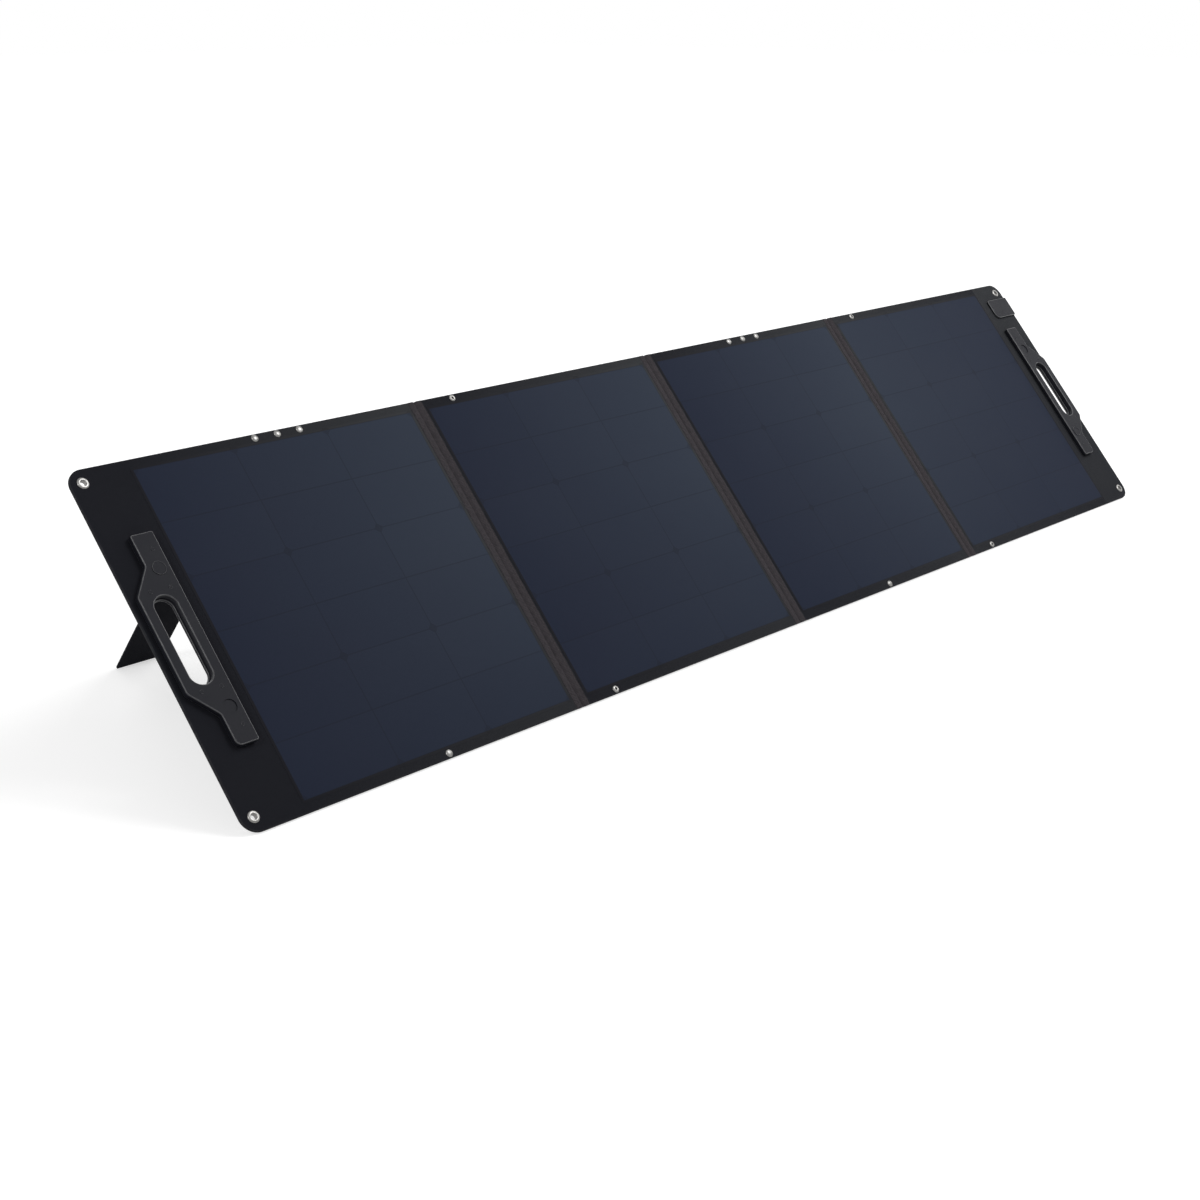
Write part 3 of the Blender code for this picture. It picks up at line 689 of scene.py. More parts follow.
def make_film():
    """Satin film with its segment's painted sheen, a random mottle, faint cell lines and a pebbled face."""
    colours = settings("colours")
    sizes = settings("segment")
    tree, shader, flat = new_finish("laminate film", 0.02)
    cell_spread = 0.06
    cloud_spread = 0.22
    mean_spread = 0.12
    line_share = 0.24
    corner_share = 0.28
    cell_width = (FILM_HIGH.x - FILM_LOW.x - 2 * sizes.margin) / sizes.columns
    cell_height = (FILM_HIGH.y - FILM_LOW.y - 2 * sizes.margin) / sizes.rows
    sheen = use_group(tree, "sheen", flat)
    columns = maths(tree, "MULTIPLY", sheen["Across"], sizes.columns)
    rows = maths(tree, "MULTIPLY", sheen["Upward"], sizes.rows)
    cell = add_node(
        tree, "ShaderNodeCombineXYZ",
        {"X": maths(tree, "FLOOR", columns), "Y": maths(tree, "FLOOR", rows), "Z": sheen["Segment"]},
    ).outputs[0]
    chance = add_node(tree, "ShaderNodeTexWhiteNoise", {"Vector": cell}).outputs["Value"]
    cloud = use_group(tree, "grain", flat, Fine=900.0, Broad=6.0)
    cloudy = maths(tree, "MULTIPLY", cloud["Tone"], cloud_spread)
    patchy = maths(tree, "MULTIPLY_ADD", chance, cell_spread, cloudy)
    # The film's tone is its segment's painted sheen plus a random mottle from cell to cell
    tone = maths(tree, "ADD", sheen["Tone"], maths(tree, "SUBTRACT", patchy, mean_spread))
    cells = mix_colour(tree, tone, colours.film, colours.film_sheen_and_mottle)
    off_side = maths(tree, "ABSOLUTE", maths(tree, "SUBTRACT", sheen["Across"], 0.5))
    off_level = maths(tree, "ABSOLUTE", maths(tree, "SUBTRACT", sheen["Upward"], 0.5))
    in_margin = maths(tree, "GREATER_THAN", maths(tree, "MAXIMUM", off_side, off_level), 0.5)
    # The plain margin shows the fabric with the segment's painted sheen
    fabric_sheen = mix_colour(tree, sheen["Tone"], colours.fabric, colours.fabric_sheen)
    base = mix_colour(tree, in_margin, cells, fabric_sheen)
    from_side = maths(tree, "MULTIPLY", maths(tree, "PINGPONG", columns, 0.5), cell_width)
    from_level = maths(tree, "MULTIPLY", maths(tree, "PINGPONG", rows, 0.5), cell_height)
    from_pair = maths(tree, "MULTIPLY", maths(tree, "PINGPONG", rows, 1.0), cell_height)
    line = maths(tree, "LESS_THAN", maths(tree, "MINIMUM", from_side, from_level), sizes.cell_gap / 2)
    cut_corner = maths(tree, "LESS_THAN", maths(tree, "ADD", from_side, from_pair), sizes.cell_corner)
    lines = maths(tree, "MULTIPLY", line, line_share)
    corners = maths(tree, "MULTIPLY", cut_corner, corner_share)
    gaps = maths(tree, "MAXIMUM", lines, corners)
    lined = mix_colour(tree, gaps, base, colours.fabric)
    dust = use_group(tree, "dust", flat, Amount=0.10)["Mask"]
    tree.links.new(mix_colour(tree, dust, lined, colours.tape_light), shader.inputs["Base Color"])
    pebbles = add_node(tree, "ShaderNodeTexVoronoi", {"Vector": flat, "Scale": 520.0}).outputs["Distance"]
    set_bump(tree, shader, maths(tree, "ADD", pebbles, cloud["Height"]), 0.00006)
    set_roughness(tree, shader, cloud["Tone"], 0.42, 0.58)


def painted_fabric_sheen(tree, flat):
    """Painted sheen on the front fabric: as on the film beside it, and painted lighter up the last flap."""
    flap_foot = 0.3
    flap_rise = 0.35
    axes = add_node(tree, "ShaderNodeSeparateXYZ", {0: flat}).outputs
    by_film = maths(tree, "COMPARE", axes["X"], 0.0, -FILM_LOW.x)
    sheen = use_group(tree, "sheen", flat)
    border_sheen = maths(tree, "MULTIPLY", sheen["Tone"], by_film)
    last_flap = maths(tree, "GREATER_THAN", axes["X"], -FILM_LOW.x)
    flap_sheen_level = maths(tree, "MULTIPLY_ADD", sheen["Upward"], flap_rise, flap_foot)
    flap_sheen = maths(tree, "MULTIPLY", flap_sheen_level, last_flap)
    return maths(tree, "MAXIMUM", border_sheen, flap_sheen)


def make_fabric(name, turn, centre, threads, dark, light, with_painted_sheen=False):
    """Matte coated fabric with its weave just showing, a painted sheen round the film and up the last flap when
    asked for, and rounded edges painted lighter, partly as wear and partly as painted highlight.
    """
    colours = settings("colours")
    tree, shader, flat = new_finish(name, 0.05, turn, centre)
    weave = use_group(tree, "weave", flat, Threads=threads)
    cloud = use_group(tree, "grain", flat, Fine=1400.0, Broad=9.0)
    least_raised = 0.35
    raised_spread = 0.2
    grain_share = 0.5
    faded = maths(tree, "MULTIPLY_ADD", cloud["Tone"], raised_spread, least_raised)
    raised = maths(tree, "MULTIPLY", weave["Height"], faded)
    base = mix_colour(tree, raised, dark, light)
    if with_painted_sheen:
        # Painted sheen on the front fabric beside the film and up the last flap
        base = mix_colour(tree, painted_fabric_sheen(tree, flat), base, colours.fabric_sheen)
    # Rounded edges painted lighter, partly as wear and partly as painted highlight
    rub_and_highlight = use_group(tree, "rubbed edges", flat, Least=0.1, Most=0.5)["Mask"]
    dust = use_group(tree, "dust", flat, Amount=0.03)["Mask"]
    worn = maths(tree, "MAXIMUM", dust, rub_and_highlight)
    tree.links.new(mix_colour(tree, worn, base, colours.plastic_wear_and_highlight), shader.inputs["Base Color"])
    height = maths(tree, "MULTIPLY_ADD", cloud["Height"], grain_share, weave["Height"])
    set_bump(tree, shader, height, 0.00012)
    set_roughness(tree, shader, cloud["Tone"], 0.72, 0.92)


def make_tape():
    """Woven hinge tape: cross ribs, coarse threads and a brown cast."""
    colours = settings("colours")
    tree, shader, flat = new_finish("hinge tape", 0.15)
    weave = use_group(tree, "weave", flat, Threads=900.0)
    cloud = use_group(tree, "grain", flat, Fine=1600.0, Broad=180.0)
    axes = add_node(tree, "ShaderNodeSeparateXYZ", {0: flat}).outputs
    rib_pace = 1250.0
    rib = maths(tree, "ABSOLUTE", maths(tree, "SINE", maths(tree, "MULTIPLY", axes["Y"], rib_pace)))
    mottled = add_node(
        tree, "ShaderNodeMapRange", {"Value": cloud["Tone"], "From Min": 0.3, "From Max": 0.7}
    ).outputs[0]
    raised = maths(tree, "MULTIPLY", maths(tree, "MULTIPLY", weave["Height"], rib), mottled)
    tree.links.new(mix_colour(tree, raised, colours.tape, colours.tape_light), shader.inputs["Base Color"])
    set_bump(tree, shader, maths(tree, "ADD", weave["Height"], rib), 0.00025)
    set_roughness(tree, shader, cloud["Tone"], 0.78, 0.95)


def make_thread():
    """Sewing thread with its twist."""
    colours = settings("colours")
    tree, shader, flat = new_finish("sewing thread", 0.2)
    strands = {"Vector": flat, "Scale": 400.0, "Distortion": 1.5}
    twist = add_node(tree, "ShaderNodeTexWave", strands, bands_direction="DIAGONAL").outputs["Fac"]
    base = mix_colour(tree, twist, colours.tape, colours.tape_light)
    tree.links.new(base, shader.inputs["Base Color"])
    set_bump(tree, shader, twist, 0.0001)
    set_roughness(tree, shader, twist, 0.6, 0.8)


def make_plastic(name, rough_low, rough_high):
    """Moulded plastic: fine grain, and edges painted lighter, partly as wear and partly as painted highlight."""
    colours = settings("colours")
    tree, shader, flat = new_finish(name, 0.075)
    grain = use_group(tree, "grain", flat, Fine=1100.0, Broad=18.0)
    # Rounded edges painted lighter, partly as wear and partly as painted highlight; the coat on the most rubbed
    # ones is real gloss
    rub_and_highlight = use_group(tree, "rubbed edges", flat, Least=0.1, Most=0.4)["Mask"]
    polish = use_group(tree, "rubbed edges", flat, Least=0.7, Most=1.0)["Mask"]
    dust = use_group(tree, "dust", flat, Amount=0.06)["Mask"]
    worn = maths(tree, "MAXIMUM", rub_and_highlight, maths(tree, "MULTIPLY", dust, grain["Tone"]))
    base = mix_colour(tree, worn, colours.plastic, colours.plastic_wear_and_highlight)
    tree.links.new(base, shader.inputs["Base Color"])
    tree.links.new(polish, shader.inputs["Coat Weight"])
    shader.inputs["Coat Roughness"].default_value = 0.35
    set_bump(tree, shader, grain["Height"], 0.00015)
    set_roughness(tree, shader, grain["Tone"], rough_low, rough_high)


def make_metal(name, rough_low, rough_high):
    """Plated metal with fine scratches and dull patches."""
    colours = settings("colours")
    tree, shader, flat = new_finish(name)
    stretched = add_node(tree, "ShaderNodeMapping", {"Vector": flat, "Scale": (1.0, 14.0, 3.0)}).outputs[0]
    scratch = use_group(tree, "grain", stretched, Fine=900.0, Broad=120.0)
    cloud = use_group(tree, "grain", flat, Fine=400.0, Broad=220.0)
    base = mix_colour(tree, cloud["Tone"], colours.metal, colours.metal_dark)
    tree.links.new(base, shader.inputs["Base Color"])
    shader.inputs["Metallic"].default_value = 1.0
    set_bump(tree, shader, scratch["Height"], 0.00003)
    set_roughness(tree, shader, scratch["Tone"], rough_low, rough_high)


def make_sheet_stock(name, dark, light, scale, rough):
    """Inner boards and cells: flakes of two tones."""
    tree, shader, flat = new_finish(name)
    flakes = use_group(tree, "grain", flat, Fine=600.0, Broad=scale)
    tree.links.new(mix_colour(tree, flakes["Tone"], dark, light), shader.inputs["Base Color"])
    set_bump(tree, shader, flakes["Height"], 0.00005)
    set_roughness(tree, shader, flakes["Tone"], rough, rough + 0.15)


# The legs' own bench frames: Y from the foot up to the hinge, Z towards the panel's back


def leg_frame(number, joint):
    """Matrix and length of a prop leg's own bench, with its origin at the hinge."""
    hinge = Vector(JOINTS[joint]["pos_m"])
    low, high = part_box(f"leg_board_{number}")
    foot = Vector((hinge.x, (high.y + reach_at_floor(number)) / 2, low.z))
    upward = (hinge - foot).normalized()
    outward = ACROSS.cross(upward)
    matrix = Matrix((
        (ACROSS.x, upward.x, outward.x, hinge.x),
        (ACROSS.y, upward.y, outward.y, hinge.y),
        (ACROSS.z, upward.z, outward.z, hinge.z),
        (0, 0, 0, 1),
    ))
    return matrix, (hinge - foot).length


def reach_at_floor(number):
    """Nearest place of a leg's sole, along the floor."""
    board = frame["nodes"][f"leg_board_{number}"].data.vertices
    floor = min(corner.co.z for corner in board)
    return min(corner.co.y for corner in board if corner.co.z < floor + TOUCH)


LEG_FRAMES = {number: leg_frame(number, joint) for number, joint in LEGS.items()}


class SOLAR_OT_finishes(bpy.types.Operator):
    """Make the finishes that the pieces share"""

    bl_idname = "solar.finishes"
    bl_label = "Finishes"

    def execute(self, context):
        colours = settings("colours")
        for make in (make_weave, make_grain, make_edge_wear_and_highlight, make_dust, make_painted_sheen):
            make()
        make_film()
        upward = LEG_FRAMES[1][0].col[1]
        leg_turn = -math.atan2(upward.z, upward.y)
        leg_centre = LEG_FRAMES[1][0].translation
        make_fabric("front fabric", -SLOPE, ORIGIN, 1500.0, colours.fabric, colours.fabric_light, with_painted_sheen=True)
        make_fabric("back fabric", -SLOPE, ORIGIN, 1100.0, colours.back, colours.back_light)
        make_fabric("leg fabric", leg_turn, leg_centre, 1100.0, colours.fabric, colours.fabric_light)
        make_tape()
        make_thread()
        make_plastic("handle plastic", 0.42, 0.56)
        make_plastic("box plastic", 0.48, 0.62)
        make_metal("plated metal", 0.24, 0.42)
        make_metal("magnet plating", 0.25, 0.45)
        make_sheet_stock("silicon cells", (0.004, 0.005, 0.012), (0.008, 0.010, 0.022), 40.0, 0.2)
        make_sheet_stock("glass fibre board", (0.060, 0.052, 0.040), (0.085, 0.075, 0.060), 55.0, 0.5)
        make_sheet_stock("circuit board", (0.010, 0.060, 0.030), (0.020, 0.100, 0.055), 30.0, 0.35)
        return {"FINISHED"}


class SOLAR_OT_laminates(bpy.types.Operator):
    """Model the four film laminates with their cells showing as low relief"""

    bl_idname = "solar.laminates"
    bl_label = "Laminates"

    def execute(self, context):
        for number in SEGMENTS:
            self.add_laminate(number)
        return {"FINISHED"}

    def add_laminate(self, number):
        """One laminate: a grid of raised cells, a plain margin and the film's edge."""
        sizes = settings("segment")
        low, high = bench_box(f"front_film_{number}")
        middle = (low + high) / 2
        whole = high - low
        field = Vector((whole.x - 2 * sizes.margin, whole.y - 2 * sizes.margin, 0))
        top = high.z - sizes.cell_relief
        piece = begin(
            bpy.ops.mesh.primitive_grid_add, f"laminate_{number}", (field.x, field.y, 1), size=1,
            x_subdivisions=sizes.columns, y_subdivisions=sizes.rows, location=(middle.x, middle.y, top),
        )
        mark_all()
        bpy.ops.mesh.inset(thickness=sizes.cell_gap / 2, use_individual=True)
        bpy.ops.mesh.inset(thickness=sizes.cell_gap / 2, use_individual=True)
        bpy.ops.transform.translate(value=(0, 0, sizes.cell_relief))
        bpy.ops.mesh.select_mode(type="EDGE")
        bpy.ops.mesh.select_all(action="DESELECT")
        bpy.ops.mesh.select_non_manifold()
        bpy.ops.mesh.extrude_edges_move()
        grow = (whole.x / field.x, whole.y / field.y, 1)
        bpy.ops.transform.resize(value=grow, center_override=(middle.x, middle.y, top))
        bpy.ops.mesh.extrude_edges_move(TRANSFORM_OT_translate={"value": (0, 0, low.z - top)})
        bpy.ops.mesh.edge_face_add()
        make_outward()
        mount(piece, "laminate film", f"panel_{number}", "film", f"front_film_{number}")


class SOLAR_OT_covers(bpy.types.Operator):
    """Model the fabric covers, front and back, with their rounded rims and holes"""

    bl_idname = "solar.covers"
    bl_label = "Fabric covers"

    def execute(self, context):
        for number in SEGMENTS:
            self.add_covers(number)
        return {"FINISHED"}

    def add_covers(self, number):
        """The two fabric skins of a segment, welded together round its rim."""
        sizes = settings("segment")
        low, high = bench_box(f"back_cover_{number}")
        weld = (FABRIC_FRONT + FABRIC_BACK) / 2
        cutter = self.add_cutter(number)
        spans = (
            ("front", weld + sizes.weld_gap / 2, FABRIC_FRONT, FABRIC_FRONT),
            ("back", FABRIC_BACK, weld - sizes.weld_gap / 2, FABRIC_BACK),
        )
        for label, bottom, top, face in spans:
            piece = add_box(f"{label}_fabric_{number}", (low.x, low.y, bottom), (high.x, high.y, top))
            if number in FLAPS:
                outer = low.x if FLAPS[number] == "left" else high.x
                mark(piece, "EDGE", lambda c: upright(c) and abs(c[0].x - outer) < TOUCH)
                round_edges(sizes.corner, 12)
            mark_sharp(piece, at_height(face))
            round_edges(sizes.rim, 4)
            cut(piece, cutter)
            mount(piece, f"{label} fabric", f"panel_{number}", "fabric", f"{label}_cover_{number}")
        remove(cutter)

    def add_cutter(self, number):
        """Every hole through a segment's fabric."""
        wall = settings("metal").wall
        tools = []
        for name in METAL_NODES:
            if BODY_OF[name] == f"panel_{number}":
                radius = hole_radius(name) + wall
                tools.append(add_drum("hole", bench_middle(name), radius, HOLE_DEPTH, HOLE_STEPS))
        if number in FLAPS:
            tools.append(add_slot_shape(FLAPS[number]))
        return join(tools, "cover_holes")


def hole_radius(name):
    """Radius of the hole through an eyelet or a grommet."""
    sizes = settings("metal")
    return sizes.grommet_hole if name.startswith("grommet") else sizes.eyelet_hole


def slot_middle(side):
    """Middle of a handle's hand slot on the bench."""
    low, high = bench_box(f"handle_front_{side}")
    inset = settings("handle").slot_inset
    x = low.x + inset if side == "left" else high.x - inset
    return Vector((x, (low.y + high.y) / 2, 0))


def add_slot_shape(side):
    """The hand slot's shape right through a flap, with room for its lining."""
    sizes = settings("handle")
    wide = 2 * sizes.lining
    return add_stadium(
        "slot", slot_middle(side), sizes.slot_width + wide, sizes.slot_length + wide, SLOT_DEPTH
    )


class SOLAR_OT_seams(bpy.types.Operator):
    """Model the three sewn hinge tapes, creased along their folds"""

    bl_idname = "solar.seams"
    bl_label = "Hinge tapes"

    # Shares of a tape's half width, and the rise at each as a share of the crease
    BEND = 0.30
    STITCH_LINE = 0.76
    PROFILE = ((0.0, -1.0), (BEND, 0.0), (0.62, 0.0), (STITCH_LINE, -0.09), (0.88, 0.06), (0.97, 0.04))

    def execute(self, context):
        for letter, left in (("a", 1), ("b", 2), ("c", 3)):
            self.add_tape(letter, left)
        return {"FINISHED"}

    def add_tape(self, letter, left):
        """One tape: creased along its fold, ribbed at its hems and sewn with two rows on each face."""
        sizes = settings("segment")
        nodes = (f"seam_tape_{letter}_left", f"seam_tape_{letter}_right")
        low = bench_box(nodes[0])[0]
        high = bench_box(nodes[1])[1]
        fold = (low.x + high.x) / 2
        half = (high.x - low.x) / 2
        piece = add_box(f"hinge_tape_{letter}", low, high)
        for share, _ in self.PROFILE:
            for side in (-1, 1):
                self.add_line(fold + side * share * half)
        for share, rise in self.PROFILE:
            for face, depth in ((high.z, sizes.crease), (low.z, -sizes.back_crease)):
                for side in (-1, 1) if share else (1,):
                    x = fold + side * share * half
                    move(
                        piece, "VERT", lambda c: at_height(face)(c) and abs(c[0].x - x) < TOUCH,
                        (0, 0, rise * depth),
                    )
        count = int((high.y - low.y) / sizes.stitch_pitch)
        start = low.y + (high.y - low.y - (count - 1) * sizes.stitch_pitch) / 2
        rows = [
            stitch_row((fold + side * self.STITCH_LINE * half, start, face), count)
            for side in (-1, 1)
            for face in (high.z, low.z)
        ]
        stitches = join(rows, f"hinge_stitches_{letter}")
        for item, finish in ((piece, "hinge tape"), (stitches, "sewing thread")):
            stand_up(item)
            give_finish(item, finish)
            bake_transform(item)
        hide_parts(*nodes)

    def add_line(self, x):
        """An edge right round the tape, at one place along the panel."""
        mark_all()
        bpy.ops.mesh.bisect(plane_co=(x, 0, 0), plane_no=(1, 0, 0))
        leave()


class SOLAR_OT_handles(bpy.types.Operator):
    """Model the two carry handles with their slots, bosses and pins"""

    bl_idname = "solar.handles"
    bl_label = "Carry handles"

    # Distances of the pins from a handle's outer edge and from its middle
    PIN_PLACES = ((0.054, 0.132), (0.052, 0.0745), (0.021, 0.0745))
    PIN_RISE = 0.0004
    PIN_HEAD = {"steps": 20, "rim": 0.45, "dish": 0.5, "edge": 0.35}
    BOSS_HEAD = {"steps": 48, "rim": 0.16, "dish": 0.7, "edge": 0.4}
    LEDGE_ROUND = 0.6
    FLARE_STEPS = 5
    FILLET_STEPS = 8

    def execute(self, context):
        for number, side in FLAPS.items():
            self.add_handle(side, f"panel_{number}")
        return {"FINISHED"}

    def add_handle(self, side, body):
        """Front and rear shells of a handle, and what shows on them."""
        sizes = settings("handle")
        low, high = bench_box(f"handle_front_{side}")
        back = bench_box(f"handle_back_{side}")[0].z
        slot = self.add_flared_slot(side, high.z, back)
        front = self.add_shell(f"handle_{side}", side, FABRIC_FRONT, high.z)
        mark_sharp(front, at_height(high.z))
        round_edges(sizes.edge, 4)
        cut(front, slot)
        raised, sunk = ("upper", "lower") if side == "left" else ("lower", "upper")
        place = bench_middle(f"magnet_{side}_{sunk}")
        place.z = high.z
        socket = add_drum("socket", place, sizes.boss, 2 * sizes.boss_rise, self.BOSS_HEAD["steps"])
        cut(front, socket)
        remove(socket)
        rear = self.add_shell(f"handle_rear_{side}", side, back, FABRIC_BACK)
        mark_sharp(rear, at_height(back))
        round_edges(sizes.back_edge, 3)
        cut(rear, slot)
        remove(slot)
        mount(front, "handle plastic", body, "plastic", f"handle_front_{side}")
        mount(rear, "handle plastic", body, "plastic", f"handle_back_{side}")
        mount(self.add_lining(side), "handle plastic", body, "plastic")
        self.add_boss(side, raised, high.z, body)
        self.add_pins(side, low, high, body)

    def add_lining(self, side):
        """The slot's lining: a rounded ledge between the two shells."""
        sizes = settings("handle")
        wide = 2 * sizes.lining
        narrow = 2 * sizes.ledge
        middle = slot_middle(side)
        middle.z = (FABRIC_FRONT + FABRIC_BACK) / 2
        thick = FABRIC_FRONT - FABRIC_BACK
        opening = add_stadium(
            "opening", middle, sizes.slot_width - narrow, sizes.slot_length - narrow, 2 * thick
        )
        lining = add_stadium(
            f"slot_lining_{side}", middle, sizes.slot_width + wide, sizes.slot_length + wide, thick
        )
        cut(lining, opening)
        remove(opening)
        reach_in = self.slot_rule(middle)
        mark_sharp(lining, lambda c: reach_in(c) and abs(c[0].z - c[1].z) < TOUCH)
        round_edges(self.LEDGE_ROUND * sizes.ledge, 4)
        return lining

    def add_flared_slot(self, side, front, back):
        """The hand slot's shape right through a handle, flared at both faces to round its mouths."""
        sizes = settings("handle")
        middle = slot_middle(side)
        top = front - sizes.edge
        bottom = back + sizes.grip
        middle.z = (top + bottom) / 2
        slot = add_stadium("slot", middle, sizes.slot_width, sizes.slot_length, top - bottom)
        self.flare(slot, middle, top, sizes.edge)
        self.flare(slot, middle, bottom, -sizes.grip)
        # The flared mouths are marked for edge wear and painted highlight
        mark_wear_and_highlight(slot, lambda face: abs(face.center.z - middle.z) > (top - bottom) / 2)
        return slot

    def flare(self, slot, middle, start, mouth):
        """Widen one end of the slot's shape along a quarter round, and lead it clear of the face."""
        sizes = settings("handle")
        straight = (sizes.slot_length - sizes.slot_width) / 2
        radius = sizes.slot_width / 2
        turns = [math.pi / 2 * step / self.FLARE_STEPS for step in range(1, self.FLARE_STEPS + 1)]
        rows = [(mouth * math.sin(turn), abs(mouth) * (1 - math.cos(turn))) for turn in turns]
        rows.append((2 * mouth, abs(mouth)))
        height = start
        for rise, spread in rows:
            mark(slot, "FACE", at_height(height))
            next_height = start + rise
            bpy.ops.mesh.extrude_region_move(TRANSFORM_OT_translate={"value": (0, 0, next_height - height)})
            grow = (sizes.slot_width / 2 + spread) / radius
            bpy.ops.transform.resize(value=(grow, 1, 1), center_override=(middle.x, middle.y, 0))
            leave()
            for way in (1, -1):
                ring = at_height(next_height)
                mark(slot, "VERT", lambda c: ring(c) and (c[0].y - middle.y) * way > TOUCH)
                centre = (middle.x, middle.y + way * straight, 0)
                bpy.ops.transform.resize(value=(1, grow, 1), center_override=centre)
                leave()
            radius = sizes.slot_width / 2 + spread
            height = next_height

    def add_shell(self, name, side, bottom, top):
        """A shell of a handle before its slot is cut: wide in its middle, with a narrower tab at each end."""
        sizes = settings("handle")
        low, high = bench_box(f"handle_front_{side}")
        outward = -1 if side == "left" else 1
        outer = low.x if side == "left" else high.x
        inner = high.x if side == "left" else low.x
        middle = (low.y + high.y) / 2
        wide = sizes.shoulder_end / 2
        piece = begin(
            bpy.ops.mesh.primitive_plane_add, name, (abs(outer - inner), sizes.shoulder_end, 1), size=1,
            location=((outer + inner) / 2, middle, bottom),
        )
        narrow = abs(outer - inner) - sizes.tab
        for way in (1, -1):
            end = middle + way * wide
            rise = way * (sizes.shoulder_start / 2 - wide)
            pull(piece, at_level(end), (0, rise, 0))
            end += rise
            move(
                piece, "VERT", lambda c: at_level(end)(c) and abs(c[0].x - outer) < TOUCH,
                (-outward * narrow, 0, 0),
            )
            run = way * ((high.y - low.y) / 2 - sizes.shoulder_start / 2)
            pull(piece, at_level(end), (0, run, 0))
        mark(piece, "FACE", lambda c: True)
        bpy.ops.mesh.dissolve_limited(angle_limit=FLAT_ANGLE)
        leave()
        tab = outer - outward * narrow

        def at_foot(corners):
            """Rule for the lower tab's outer corner."""
            return at_level(low.y)(corners) and abs(corners[0].x - tab) < TOUCH

        mark(piece, "VERT", lambda c: not at_foot(c))
        bpy.ops.mesh.bevel(offset=sizes.fillet, segments=self.FILLET_STEPS, affect="VERTICES")
        leave()
        mark(piece, "VERT", at_foot)
        bpy.ops.mesh.bevel(offset=sizes.foot_fillet, segments=self.FILLET_STEPS, affect="VERTICES")
        bpy.ops.mesh.select_all(action="SELECT")
        bpy.ops.mesh.extrude_region_move(TRANSFORM_OT_translate={"value": (0, 0, top - bottom)})
        make_outward()
        return piece

    def slot_rule(self, middle):
        """Rule for what lies inside a hand slot's outline."""
        sizes = settings("handle")
        half = sizes.slot_width / 2
        straight = (sizes.slot_length - sizes.slot_width) / 2

        def rule(corners):
            """True where every corner lies inside."""
            for corner in corners:
                up = max(0.0, abs(corner.y - middle.y) - straight)
                if math.hypot(corner.x - middle.x, up) > half:
                    return False
            return True

        return rule

    def add_boss(self, side, level, face, body):
        """A round boss over a magnet, with a dished middle."""
        sizes = settings("handle")
        seat = bench_middle(f"magnet_{side}_{level}")
        seat.z = face
        piece = add_head(f"boss_{side}_{level}", seat, sizes.boss, sizes.boss_rise, **self.BOSS_HEAD)
        mount(piece, "handle plastic", body, "plastic")

    def add_pins(self, side, low, high, body):
        """Small pin heads on the front shell."""
        head = add_head("pin", Vector((0, 0, 0)), settings("handle").pin, self.PIN_RISE, **self.PIN_HEAD)
        middle = (low.y + high.y) / 2
        copies = []
        for inward, up in self.PIN_PLACES:
            x = low.x + inward if side == "left" else high.x - inward
            for way in (1, -1):
                copies.append(copy_of(head, "pin", (x, middle + way * up, high.z)))
        remove(head)
        mount(join(copies, f"handle_pins_{side}"), "handle plastic", body, "plastic")


class SOLAR_OT_eyelets(bpy.types.Operator):
    """Turn the eyelets, rivets and grommets"""

    bl_idname = "solar.eyelets"
    bl_label = "Eyelets and grommets"

    # Shares of a ring's flange from its hole outwards, and the drop from its front at each
    DOME = ((0, 0.0008), (0.1, 0.0002), (0.3, 0), (0.55, 0.0001), (0.8, 0.0005), (0.95, 0.001), (1, 0.0014))
    BACK_FLANGE = 0.0010
    BACK_ROUND = 0.0004
    BACK_MOUTH = 0.0005
    STUD_CROWN = 0.0006
    STUD_ROUND = 0.0006
    STUD_STEPS = 7

    def execute(self, context):
        sizes = settings("metal")
        for name in METAL_NODES:
            low, high = bench_box(name)
            section = self.stud_profile if name in STUDS else self.ring_profile
            flange = (high.x - low.x) / 2 + sizes.roll
            profile = section(hole_radius(name), flange, low.z, high.z)
            ring = add_turned(f"{name}_ring", profile, sizes.steps)
            place = (low + high) / 2
            ring.location = (place.x, place.y, 0)
            settle(ring)
            mount(ring, "plated metal", BODY_OF[name], "eyelet_metal", name)
        return {"FINISHED"}

    def ring_profile(self, hole, flange, back, front):
        """Section of a ring: rolled mouth, domed front flange, barrel and rolled back flange."""
        barrel = hole + settings("metal").wall
        inner = back + self.BACK_FLANGE
        dome = [(hole + share * (flange - hole), front - drop) for share, drop in self.DOME]
        seat = [(flange, FABRIC_FRONT), (barrel, FABRIC_FRONT), (barrel, inner)]
        rear = [(flange, inner), (flange, back + self.BACK_ROUND), (flange - self.BACK_ROUND, back)]
        mouth = [(barrel, back), (hole, back + self.BACK_MOUTH)]
        return dome + seat + rear + mouth + dome[:1]

    def stud_profile(self, hole, flange, back, front):
        """Section of a rivet: a closed dome, a shank and a flat head behind."""
        shank = hole + settings("metal").wall
        inner = back + self.BACK_FLANGE
        rise = front - FABRIC_FRONT + self.STUD_CROWN
        turns = [0.5 * math.pi * step / self.STUD_STEPS for step in range(1, self.STUD_STEPS + 1)]
        dome = [(POLE, FABRIC_FRONT + rise)]
        dome += [(flange * math.sin(turn), FABRIC_FRONT + rise * math.cos(turn)) for turn in turns]
        rear = [(shank, FABRIC_FRONT), (shank, inner), (flange, inner), (flange - self.STUD_ROUND, back)]
        return dome + rear + [(POLE, back)]


